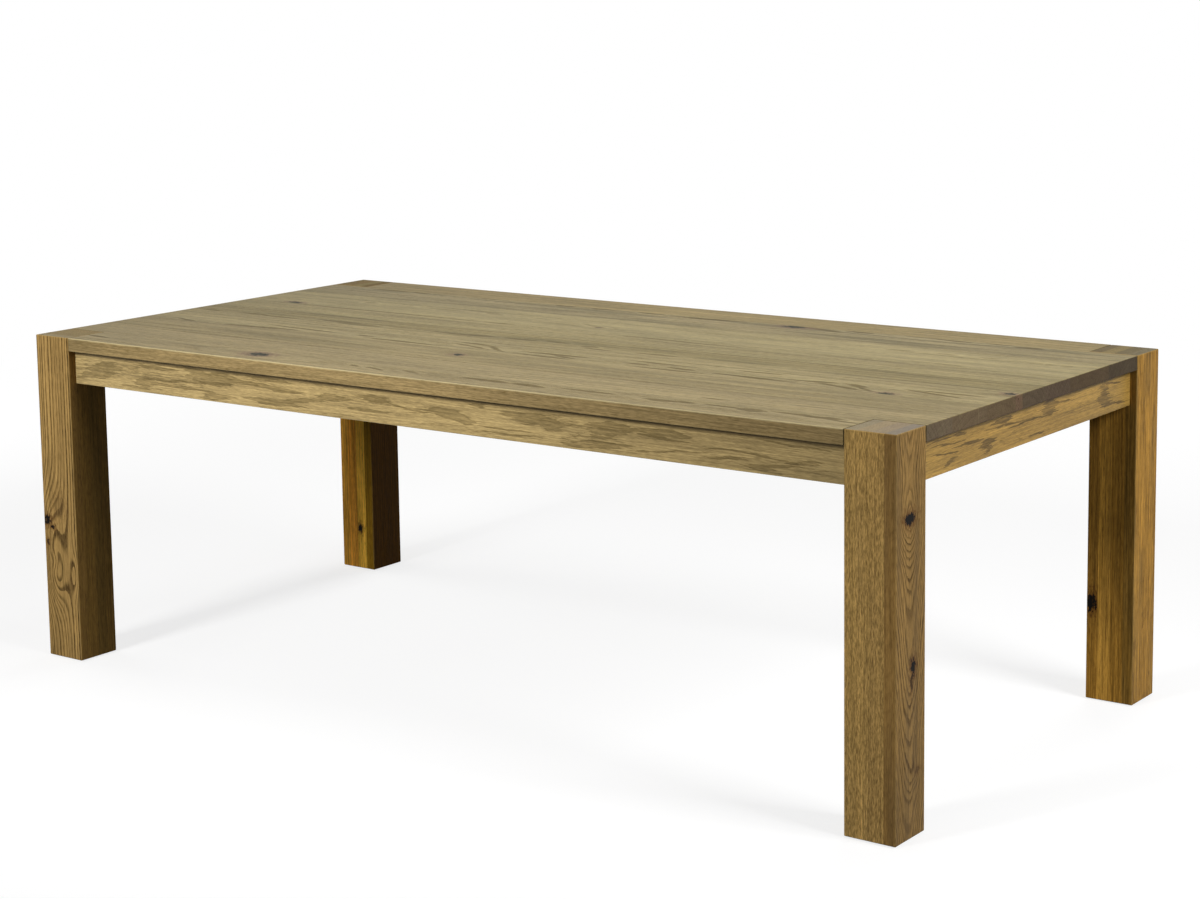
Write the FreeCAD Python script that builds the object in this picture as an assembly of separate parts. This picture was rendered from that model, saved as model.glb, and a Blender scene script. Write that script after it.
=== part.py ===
import FreeCAD, Part
import math
import os

from FreeCAD import Placement, Rotation, Vector

# A solid oak parsons dining table, in millimetres.
# The origin is on the floor under the middle of the top. X runs along the table,
# minus Y is the front, and Z is up.

# Whole table
table_length = 2200.0
table_width = 1100.0
table_height = 740.0

# Top, edge glued from full length boards, the front one first
# The back board is as wide as its notches and the land beside them, the others share the rest
top_thickness = 30.0
top_arris_radius = 1.6
board_width_shares = (0.205, 0.137, 0.145, 0.097, 0.110, 0.179, 0.127)
back_board_land = 13.4
notch_clearance = 0.4

# Legs, each glued from four staves, the outer one first
leg_section = 105.0
leg_arris_radius = 2.0
leg_flat_share = 0.343
stave_thickness_shares = (0.229, 0.271, 0.271, 0.229)

# Aprons
apron_thickness = 25.0
apron_height = 75.0
apron_arris_radius = 1.5
long_apron_setback = 20.0
short_apron_setback = 16.0
button_groove_drop = 10.0
button_groove_height = 8.0
button_groove_depth = 10.0

# Corner brackets of bent steel plate
bracket_plate = 3.0
bracket_height = 56.0
bracket_leg_gap = 4.0
bracket_wing = 34.0
bracket_hook = 8.0
bracket_bend_radius = 2.0
kerf_clearance = 0.4

# Hanger bolts, washers and nuts that draw each leg into its corner
bolt_diameter = 8.0
bolt_pitch = 28.0
bolt_tip_share = 0.437
bolt_stick_out = 6.0
bolt_point = 5.0
bolt_hole_clearance = 0.5
washer_diameter = 20.0
washer_thickness = 1.6
nut_across_flats = 13.0
nut_thickness = 6.5

# Wood screws
screw_shank = 4.0
screw_head = 8.4
screw_head_height = 2.8
screw_point = 4.0
bracket_screw_length = 17.0
bracket_screw_pitch = 26.0
top_screw_bite = 19.0
pilot_clearance = 0.15

# Cross bearers that keep the top flat
bearer_width = 36.0
bearer_height = 46.0
bearer_arris_radius = 2.0
bearer_place_shares = (-0.29, 0.0, 0.29)
bearer_names = ("left", "middle", "right")
tenon_length = 12.0
tenon_height = 18.0
tenon_cheek = 6.0
tenon_bottom_shoulder = 6.0
mortise_clearance = 0.3
bearer_screw_shares = (-0.38, -0.13, 0.16, 0.36)
bearer_bore = 12.0
bearer_bore_depth = 24.0
bearer_slot = 5.0
bearer_slot_travel = 7.0

# Wooden buttons that hold the top down on the aprons
button_width = 28.0
button_length = 40.0
button_height = 22.0
button_arris_radius = 1.5
button_tongue = 8.0
button_tongue_clearance = 0.4
button_standoff = 1.0
button_screw_share = 0.55
long_button_shares = (-0.385, -0.145, 0.145, 0.385)
short_button_shares = (-0.25, 0.25)

# Glides under the feet
glide_diameter = 30.0
glide_thickness = 5.0
glide_proud = 2.0
glide_edge_radius = 1.2
glide_seat_clearance = 0.3
glide_nail = 3.0
glide_nail_length = 14.0
glide_nail_point = 3.0

# Reach of a cutting shape past the face that it cuts
overrun = 5.0

# Levels and faces that follow from the sizes above
top_underside = table_height - top_thickness
apron_bottom = top_underside - apron_height
apron_middle = apron_bottom + apron_height / 2
half_length = table_length / 2
half_width = table_width / 2
notch = leg_section + notch_clearance
leg_flat_setback = leg_section * leg_flat_share
leg_flat_distance = (leg_section + leg_section - leg_flat_setback) / math.sqrt(2)
bolt_tip_distance = leg_section * bolt_tip_share * math.sqrt(2)
long_apron_inner = long_apron_setback + apron_thickness
short_apron_inner = short_apron_setback + apron_thickness
groove_top = top_underside - button_groove_drop
groove_bottom = groove_top - button_groove_height
screw_radius = screw_shank / 2
pilot_radius = screw_radius + pilot_clearance
bolt_radius = bolt_diameter / 2
bolt_hole_radius = bolt_radius + bolt_hole_clearance

# Each corner, by name, with the side of X and of Y that it is on
corners = {
    "front_left": (-1, -1),
    "front_right": (1, -1),
    "back_left": (-1, 1),
    "back_right": (1, 1),
}
# The front left leg shows the broad face of a stave to the front, the others to the end
stave_axes = {
    "front_left": "y",
    "front_right": "x",
    "back_left": "x",
    "back_right": "x",
}

up = Vector(0, 0, 1)
inward = Vector(1, 1, 0).normalize()


def box(x_span, y_span, z_span):
    """A block between two places on each axis."""
    corner = Vector(x_span[0], y_span[0], z_span[0])
    return Part.makeBox(
        x_span[1] - x_span[0], y_span[1] - y_span[0], z_span[1] - z_span[0], corner
    )


def rod(radius, length, start, direction):
    """A round bar from a point along a direction."""
    return Part.makeCylinder(radius, length, start, direction)


def turned(profile):
    """A solid turned about Z from a closed outline of radius and height pairs."""
    points = [Vector(radius, 0, height) for radius, height in profile]
    face = Part.Face(Part.makePolygon(points + points[:1]))
    return face.revolve(Vector(0, 0, 0), up, 360)


def aimed(solid, point, direction):
    """A solid made along Z from the origin, turned to a direction and moved to a point."""
    moved = solid.copy()
    moved.Placement = Placement(point, Rotation(up, direction))
    return moved


def prism(points, z_span):
    """An upright prism on a plan outline."""
    ring = [Vector(x, y, z_span[0]) for x, y in points]
    face = Part.Face(Part.makePolygon(ring + ring[:1]))
    return face.extrude(Vector(0, 0, z_span[1] - z_span[0]))


def edges_along(solid, direction, keep):
    """The straight edges of a solid along a direction whose middle passes a test."""
    found = []
    for edge in solid.Edges:
        run = edge.Vertexes[-1].Point - edge.Vertexes[0].Point
        if run.Length > 0 and abs(run.normalize().dot(direction)) > math.cos(math.radians(1)):
            if keep(edge.CenterOfMass):
                found.append(edge)
    return found


def upright_edge_at(solid, x, y):
    """The upright edge of a solid that stands nearest to a place on plan."""
    uprights = edges_along(solid, up, lambda at: True)
    return min(uprights, key=lambda edge: math.hypot(edge.CenterOfMass.x - x,
                                                     edge.CenterOfMass.y - y))


def to_corner(shape, name):
    """A shape drawn inward from the origin, set at one corner of the table by mirroring."""
    side_x, side_y = corners[name]
    moved = shape.copy()
    moved.translate(Vector(-half_length, -half_width, 0))
    if side_x > 0:
        moved = moved.mirror(Vector(0, 0, 0), Vector(1, 0, 0))
    if side_y > 0:
        moved = moved.mirror(Vector(0, 0, 0), Vector(0, 1, 0))
    return moved


def running_ends(start, whole, shares):
    """The ends of pieces laid side by side, from their shares of the whole."""
    ends = [start]
    for share in shares:
        ends.append(ends[-1] + whole * share)
    return ends


def wood_screw(length):
    """A pan head wood screw with its head below the origin and its point along Z."""
    head_radius = screw_head / 2
    crown_share = 0.55
    return turned([
        (0, -screw_head_height),
        (head_radius * crown_share, -screw_head_height),
        (head_radius, -screw_head_height * crown_share),
        (head_radius, 0),
        (screw_radius, 0),
        (screw_radius, length - screw_point),
        (0, length),
    ])


# Legs

def bolt_levels():
    """The heights of the two bolts at a corner."""
    return (apron_middle - bolt_pitch / 2, apron_middle + bolt_pitch / 2)


def leg_blank():
    """One leg as glued up and worked: eased, flatted, drilled and bored for its glide."""
    span = (0, leg_section)
    leg = box(span, span, (glide_proud, table_height))
    leg = leg.makeFillet(leg_arris_radius, leg.Edges)
    reach = leg_section + overrun
    cut_from = leg_section - leg_flat_setback
    outline = [(reach, cut_from - overrun), (reach, reach), (cut_from - overrun, reach)]
    leg = leg.cut(prism(outline, (apron_bottom, top_underside)))
    hole_length = leg_flat_distance + overrun - bolt_tip_distance
    for level in bolt_levels():
        tip = inward * bolt_tip_distance + up * level
        leg = leg.cut(rod(bolt_hole_radius, hole_length, tip, inward))
    middle = leg_section / 2
    foot = Vector(middle, middle, 0)
    leg = leg.cut(rod(glide_diameter / 2 + glide_seat_clearance, glide_thickness, foot, up))
    nail_depth = glide_thickness + glide_nail_length
    return leg.cut(rod(glide_nail / 2 + pilot_clearance, nail_depth, foot, up))


def leg_staves(blank, axis):
    """The staves of a leg, cut from the worked blank along its glue lines."""
    wide = (-overrun, leg_section + overrun)
    tall = (-overrun, table_height + overrun)
    ends = running_ends(0, leg_section, stave_thickness_shares)
    staves = []
    for near, far in zip(ends[:-1], ends[1:]):
        thin = (near, far)
        slab = box(thin, wide, tall) if axis == "x" else box(wide, thin, tall)
        staves.append(blank.common(slab).Solids[0])
    return staves


def leg_glide():
    """A nylon glide with its nail, under the middle of a foot."""
    radius = glide_diameter / 2
    nail = glide_nail / 2
    glide = turned([
        (0, 0),
        (radius - glide_edge_radius, 0),
        (radius, glide_edge_radius),
        (radius, glide_thickness),
        (nail, glide_thickness),
        (nail, glide_thickness + glide_nail_length - glide_nail_point),
        (0, glide_thickness + glide_nail_length),
    ])
    middle = leg_section / 2
    return aimed(glide, Vector(middle, middle, 0), up)


# Corner brackets and their fasteners

def bracket_sums():
    """Where the bracket's two faces cross the corner, as X plus Y in the corner's frame."""
    near = leg_flat_distance + bracket_leg_gap
    return near * math.sqrt(2), (near + bracket_plate) * math.sqrt(2)


def bracket_ends():
    """How far along the long and the short apron the bracket's wings end."""
    near, _ = bracket_sums()
    return near - long_apron_inner + bracket_wing, near - short_apron_inner + bracket_wing


def bracket_screw_seats():
    """The places of the four screws of a bracket, with the way that each is driven."""
    near, _ = bracket_sums()
    long_end, short_end = bracket_ends()
    long_x = (near - long_apron_inner + long_end) / 2
    short_y = (near - short_apron_inner + short_end) / 2
    seats = []
    for step in (-1, 1):
        level = apron_middle + step * bracket_screw_pitch / 2
        long_seat = Vector(long_x, long_apron_inner + bracket_plate, level)
        short_seat = Vector(short_apron_inner + bracket_plate, short_y, level)
        seats.append((long_seat, Vector(0, -1, 0)))
        seats.append((short_seat, Vector(-1, 0, 0)))
    return seats


def corner_bracket():
    """A plate bent across the corner, hooked into a kerf in each apron."""
    near, far = bracket_sums()
    long_end, short_end = bracket_ends()
    plate = bracket_plate
    long_face = long_apron_inner
    short_face = short_apron_inner
    bracket = prism([
        (long_end - plate, long_face - bracket_hook),
        (long_end, long_face - bracket_hook),
        (long_end, long_face + plate),
        (far - long_face - plate, long_face + plate),
        (short_face + plate, far - short_face - plate),
        (short_face + plate, short_end),
        (short_face - bracket_hook, short_end),
        (short_face - bracket_hook, short_end - plate),
        (short_face, short_end - plate),
        (short_face, near - short_face),
        (near - long_face, long_face),
        (long_end - plate, long_face),
    ], (apron_middle - bracket_height / 2, apron_middle + bracket_height / 2))
    bends = {
        bracket_bend_radius: [
            (far - long_face - plate, long_face + plate),
            (short_face + plate, far - short_face - plate),
        ],
        bracket_bend_radius + plate: [
            (near - long_face, long_face),
            (short_face, near - short_face),
            (long_end, long_face + plate),
            (short_face + plate, short_end),
        ],
    }
    for radius, places in bends.items():
        for x, y in places:
            bracket = bracket.makeFillet(radius, [upright_edge_at(bracket, x, y)])
    for level in bolt_levels():
        start = up * level
        bracket = bracket.cut(rod(bolt_hole_radius, leg_section + leg_section, start, inward))
    for seat, way in bracket_screw_seats():
        mouth = seat - way * overrun
        bracket = bracket.cut(rod(pilot_radius, bracket_plate + overrun + overrun, mouth, way))
    return bracket


def bracket_screws():
    """The four screws of one bracket."""
    screw = wood_screw(bracket_screw_length)
    return [aimed(screw, seat, way) for seat, way in bracket_screw_seats()]


def bolt_face_distance():
    """How far the inner face of a bracket lies from the leg's outer corner."""
    return leg_flat_distance + bracket_leg_gap + bracket_plate


def hanger_bolts():
    """The two hanger bolts of one corner, screwed into the leg and standing out of the bracket."""
    start = bolt_tip_distance
    end = bolt_face_distance() + washer_thickness + nut_thickness + bolt_stick_out
    bolt = turned([
        (0, 0),
        (bolt_radius, bolt_point),
        (bolt_radius, end - start),
        (0, end - start),
    ])
    return [aimed(bolt, inward * start + up * level, inward) for level in bolt_levels()]


def bolt_washers():
    """The washer under each nut of one corner."""
    face = bolt_face_distance()
    ring = Part.makeCylinder(washer_diameter / 2, washer_thickness)
    ring = ring.cut(Part.makeCylinder(bolt_hole_radius, washer_thickness))
    return [aimed(ring, inward * face + up * level, inward) for level in bolt_levels()]


def bolt_nuts():
    """The hexagon nut on each bolt of one corner."""
    face = bolt_face_distance() + washer_thickness
    reach = nut_across_flats / 2 / math.cos(math.radians(30))
    turns = [math.radians(60 * side) for side in range(6)]
    outline = [(reach * math.cos(turn), reach * math.sin(turn)) for turn in turns]
    nut = prism(outline, (0, nut_thickness))
    nut = nut.cut(Part.makeCylinder(bolt_radius + pilot_clearance, nut_thickness))
    return [aimed(nut, inward * face + up * level, inward) for level in bolt_levels()]


# Aprons

def plain_apron(length):
    """An apron lying along X with its inner face on Y zero and the rest below that."""
    half = length / 2
    apron = box((-half, half), (-apron_thickness, 0), (apron_bottom, top_underside))
    lower = edges_along(apron, Vector(1, 0, 0), lambda at: at.z < apron_middle)
    apron = apron.makeFillet(apron_arris_radius, lower)
    groove = box((-half - overrun, half + overrun), (-button_groove_depth, overrun),
                 (groove_bottom, groove_top))
    return apron.cut(groove)


def with_corner_cuts(apron, half_table, wing_end, screw_place):
    """An apron with the kerf and the pilot holes for the bracket at each of its ends."""
    kerf_deep = bracket_hook + kerf_clearance
    tall = (apron_bottom - overrun, top_underside + overrun)
    for side in (-1, 1):
        near = side * (half_table - wing_end - kerf_clearance)
        far = side * (half_table - wing_end + bracket_plate + kerf_clearance)
        span = (min(near, far), max(near, far))
        apron = apron.cut(box(span, (-kerf_deep, overrun), tall))
        for step in (-1, 1):
            level = apron_middle + step * bracket_screw_pitch / 2
            mouth = Vector(side * (half_table - screw_place), overrun, level)
            deep = overrun + bracket_screw_length - bracket_plate
            apron = apron.cut(rod(pilot_radius, deep, mouth, Vector(0, -1, 0)))
    return apron


def long_apron():
    """The front apron, drawn with its inner face on Y zero, mortised for the bearers."""
    apron = plain_apron(table_length - leg_section - leg_section)
    near, _ = bracket_sums()
    wing_end, _ = bracket_ends()
    screw_place = (near - long_apron_inner + wing_end) / 2
    apron = with_corner_cuts(apron, half_length, wing_end, screw_place)
    for share in bearer_place_shares:
        place = table_length * share
        half = bearer_width / 2 - tenon_cheek + mortise_clearance
        low, high = tenon_levels()
        deep = tenon_length + mortise_clearance
        mortise = box((place - half, place + half), (-deep, overrun),
                      (low - mortise_clearance, high + mortise_clearance))
        apron = apron.cut(mortise)
    return apron


def short_apron():
    """An end apron, drawn along X with its inner face on Y zero."""
    apron = plain_apron(table_width - leg_section - leg_section)
    near, _ = bracket_sums()
    _, wing_end = bracket_ends()
    screw_place = (near - short_apron_inner + wing_end) / 2
    return with_corner_cuts(apron, half_width, wing_end, screw_place)


def set_front(shape):
    """A shape drawn against the front apron's inner face, moved there."""
    moved = shape.copy()
    moved.translate(Vector(0, -half_width + long_apron_inner, 0))
    return moved


def set_back(shape):
    """A shape drawn against the front apron's inner face, turned to the back."""
    moved = set_front(shape)
    moved.rotate(Vector(0, 0, 0), up, 180)
    return moved


def set_right(shape):
    """A shape drawn against an apron's inner face on Y zero, turned to the right end."""
    moved = shape.copy()
    moved.rotate(Vector(0, 0, 0), up, 90)
    moved.translate(Vector(half_length - short_apron_inner, 0, 0))
    return moved


def set_left(shape):
    """A shape drawn against an apron's inner face on Y zero, turned to the left end."""
    moved = set_right(shape)
    moved.rotate(Vector(0, 0, 0), up, 180)
    return moved


# Bearers

def tenon_levels():
    """The lower and upper faces of a bearer's tenons."""
    low = top_underside - bearer_height + tenon_bottom_shoulder
    return low, low + tenon_height


def bearer_screw_places():
    """Where the screws of the bearers stand, seen from above, with the bore's end level."""
    level = top_underside - bearer_height + bearer_bore_depth
    return [
        Vector(table_length * place, table_width * share, level)
        for place in bearer_place_shares
        for share in bearer_screw_shares
    ]


def slot_cutter(centre, width, travel, height):
    """An upright slot with round ends, along Y."""
    half = travel / 2
    block = box((centre.x - width / 2, centre.x + width / 2),
                (centre.y - half, centre.y + half), (centre.z, centre.z + height))
    for step in (-half, half):
        block = block.fuse(rod(width / 2, height, centre + Vector(0, step, 0), up))
    return block.removeSplitter()


def bearer(share):
    """A cross bearer with stub tenons and slotted screw holes that let the top move."""
    place = table_length * share
    low_face = top_underside - bearer_height
    shoulder = half_width - long_apron_inner
    half = bearer_width / 2
    beam = box((place - half, place + half), (-shoulder, shoulder), (low_face, top_underside))
    lower = edges_along(beam, Vector(0, 1, 0), lambda at: at.z < low_face + bearer_height / 2)
    beam = beam.makeFillet(bearer_arris_radius, lower)
    tongue_end = shoulder + tenon_length
    cheek = half - tenon_cheek
    tenon = box((place - cheek, place + cheek), (-tongue_end, tongue_end), tenon_levels())
    beam = beam.fuse(tenon).removeSplitter()
    for seat in bearer_screw_places():
        if abs(seat.x - place) < half:
            mouth = Vector(seat.x, seat.y, low_face - overrun)
            beam = beam.cut(
                slot_cutter(mouth, bearer_bore, bearer_slot_travel, bearer_bore_depth + overrun)
            )
            beam = beam.cut(
                slot_cutter(seat, bearer_slot, bearer_slot_travel, bearer_height + overrun)
            )
    return beam.Solids[0]


def bearer_screws():
    """The screws that hold the bearers to the top."""
    screw = wood_screw(bearer_height - bearer_bore_depth + top_screw_bite)
    return [aimed(screw, seat, up) for seat in bearer_screw_places()]


# Buttons

def button(place):
    """A wooden button beside an inner face on Y zero, with its tongue in the groove."""
    half = button_width / 2
    body = box((place - half, place + half), (button_standoff, button_length),
               (top_underside - button_height, top_underside))
    lower = edges_along(body, Vector(1, 0, 0), lambda at: at.z < groove_bottom)
    body = body.makeFillet(button_arris_radius, lower)
    tongue = box((place - half, place + half), (-button_tongue, button_length / 2),
                 (groove_bottom + button_tongue_clearance, groove_top - button_tongue_clearance))
    seat = button_seat(place)
    hole = rod(pilot_radius, button_height + overrun, seat - up * overrun, up)
    return body.fuse(tongue).removeSplitter().cut(hole).Solids[0]


def button_seat(place):
    """Where the head of a button's screw bears."""
    return Vector(place, button_length * button_screw_share, top_underside - button_height)


def button_rows():
    """Each row of buttons: the way to set it, the length that it follows and its shares."""
    return {
        "front": (set_front, table_length, long_button_shares),
        "back": (set_back, table_length, long_button_shares),
        "left": (set_left, table_width, short_button_shares),
        "right": (set_right, table_width, short_button_shares),
    }


def row_buttons(name):
    """The buttons of one apron."""
    place_it, whole, shares = button_rows()[name]
    return [place_it(button(whole * share)) for share in shares]


def row_screws(name):
    """The screws of one apron's buttons."""
    place_it, whole, shares = button_rows()[name]
    screw = wood_screw(button_height + top_screw_bite)
    return [place_it(aimed(screw, button_seat(whole * share), up)) for share in shares]


# Top

def top_panel():
    """The glued top with its four notches, eased arrises and pilot holes."""
    panel = box((-half_length, half_length), (-half_width, half_width),
                (top_underside, table_height))
    for name in corners:
        block = box((-overrun, notch), (-overrun, notch),
                    (top_underside - overrun, table_height + overrun))
        panel = panel.cut(to_corner(block, name))
    inner_x = half_length - notch - top_arris_radius
    inner_y = half_width - notch - top_arris_radius
    sharp = edges_along(
        panel, up, lambda at: inner_x < abs(at.x) < half_length - top_arris_radius
        and inner_y < abs(at.y) < half_width - top_arris_radius
    )
    eased = [
        edge for edge in panel.Edges
        if not any(edge.isSame(corner) for corner in sharp)
    ]
    panel = panel.makeFillet(top_arris_radius, eased)
    tips = [Vector(seat.x, seat.y, top_underside) for seat in bearer_screw_places()]
    for name in button_rows():
        for screw in row_screws(name):
            middle = screw.BoundBox.Center
            tips.append(Vector(middle.x, middle.y, top_underside))
    for tip in tips:
        panel = panel.cut(rod(pilot_radius, top_screw_bite + overrun, tip - up * overrun, up))
    return panel


def top_boards(panel):
    """The boards of the top, cut from the finished panel along its seams, front first."""
    wide = (-half_length - overrun, half_length + overrun)
    tall = (top_underside - overrun, table_height + overrun)
    back_board = notch + back_board_land
    seams = running_ends(-half_width, table_width - back_board, board_width_shares)
    seams.append(half_width)
    return [
        panel.common(box(wide, (near, far), tall)).Solids[0]
        for near, far in zip(seams[:-1], seams[1:])
    ]


# The assembly, one node for each piece or group of like fasteners

def build():
    """Every node of the table by name."""
    nodes = {}
    for number, board in enumerate(top_boards(top_panel()), start=1):
        nodes[f"top_board_{number}"] = board
    blank = leg_blank()
    for name in corners:
        for number, stave in enumerate(leg_staves(blank, stave_axes[name]), start=1):
            nodes[f"leg_{name}_stave_{number}"] = to_corner(stave, name)
        nodes[f"leg_{name}_glide"] = to_corner(leg_glide(), name)
        nodes[f"corner_bracket_{name}"] = to_corner(corner_bracket(), name)
    nodes["apron_front"] = set_front(long_apron())
    nodes["apron_back"] = set_back(long_apron())
    nodes["apron_left"] = set_left(short_apron())
    nodes["apron_right"] = set_right(short_apron())
    for name, share in zip(bearer_names, bearer_place_shares):
        nodes[f"bearer_{name}"] = bearer(share)
    for name in button_rows():
        nodes[f"buttons_{name}"] = Part.makeCompound(row_buttons(name))
    corner_groups = {
        "bracket_screws": bracket_screws,
        "hanger_bolts": hanger_bolts,
        "bolt_washers": bolt_washers,
        "bolt_nuts": bolt_nuts,
    }
    for group, make in corner_groups.items():
        nodes[group] = Part.makeCompound(
            [to_corner(solid, name) for name in corners for solid in make()]
        )
    nodes["button_screws"] = Part.makeCompound(
        [screw for name in button_rows() for screw in row_screws(name)]
    )
    nodes["bearer_screws"] = Part.makeCompound(bearer_screws())
    return nodes


os.makedirs("parts", exist_ok=True)
for node_name, node_shape in build().items():
    node_shape.exportStep(os.path.join("parts", f"{node_name}.step"))
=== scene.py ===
"""Dresses the parsons dining table: oiled knotty oak, zinc plated fittings and nylon glides."""

import logging
import math
from collections.abc import Sequence
from dataclasses import dataclass, field, replace
from enum import Enum

import bpy
from mathutils import Matrix, Vector


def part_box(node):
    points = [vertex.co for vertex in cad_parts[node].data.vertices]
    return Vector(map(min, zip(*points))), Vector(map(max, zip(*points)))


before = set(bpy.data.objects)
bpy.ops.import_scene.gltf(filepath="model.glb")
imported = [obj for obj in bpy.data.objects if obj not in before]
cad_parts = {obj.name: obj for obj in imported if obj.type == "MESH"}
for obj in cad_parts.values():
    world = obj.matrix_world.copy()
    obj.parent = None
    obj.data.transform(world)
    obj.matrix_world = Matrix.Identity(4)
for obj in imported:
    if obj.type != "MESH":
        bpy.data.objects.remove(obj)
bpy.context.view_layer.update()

MILLIMETRES = 1000.0

log = logging.getLogger("parsons_table")

Colour = tuple[float, float, float, float]
Tint = tuple[float, float, float]
Cells = tuple[float, float]
Socket = bpy.types.NodeSocket
Outputs = bpy.types.bpy_prop_collection

NO_TINT: Tint = (1.0, 1.0, 1.0)
PATTERN_STEPS = (17.3, 5.9, 29.1)


def paint(red: int, green: int, blue: int) -> Colour:
    """Turn a display colour into the linear colour that a shader takes.

    Args:
        red: Red from 0 to 255.
        green: Green from 0 to 255.
        blue: Blue from 0 to 255.

    Returns:
        The linear colour with full alpha.
    """
    def linear(level: int) -> float:
        """One channel, unfolded from the display curve."""
        share = level / 255
        return share / 12.92 if share <= 0.04045 else ((share + 0.055) / 1.055) ** 2.4

    return (linear(red), linear(green), linear(blue), 1.0)


class Axis(Enum):
    """An axis of the table: X along it, Y from front to back, Z up."""

    X = 0
    Y = 1
    Z = 2


class TintedSide(Enum):
    """Which sides of a stick take the tint of its sides: both, or one end of the axis across its face."""

    BOTH = "both"
    HIGH = "high"
    LOW = "low"


@dataclass(frozen=True)
class GrainFrame:
    """How a stick of wood lies: along its fibres, across its face and through it."""

    along: Axis
    across: Axis
    through: Axis
    tinted: TintedSide = TintedSide.BOTH

    def order(self, parts: Sequence[object]) -> tuple[object, ...]:
        """Parts on the table's axes, put in the order along, across and through the stick."""
        return tuple(parts[axis.value] for axis in (self.along, self.across, self.through))


ALONG_TABLE = GrainFrame(Axis.X, Axis.Y, Axis.Z)
LONG_APRON = GrainFrame(Axis.X, Axis.Z, Axis.Y)
SHORT_APRON = GrainFrame(Axis.Y, Axis.Z, Axis.X)
ACROSS_TABLE = GrainFrame(Axis.Y, Axis.X, Axis.Z)
FACE_TO_FRONT = GrainFrame(Axis.Z, Axis.X, Axis.Y, TintedSide.HIGH)
FACE_TO_END = GrainFrame(Axis.Z, Axis.Y, Axis.X, TintedSide.LOW)


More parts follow.
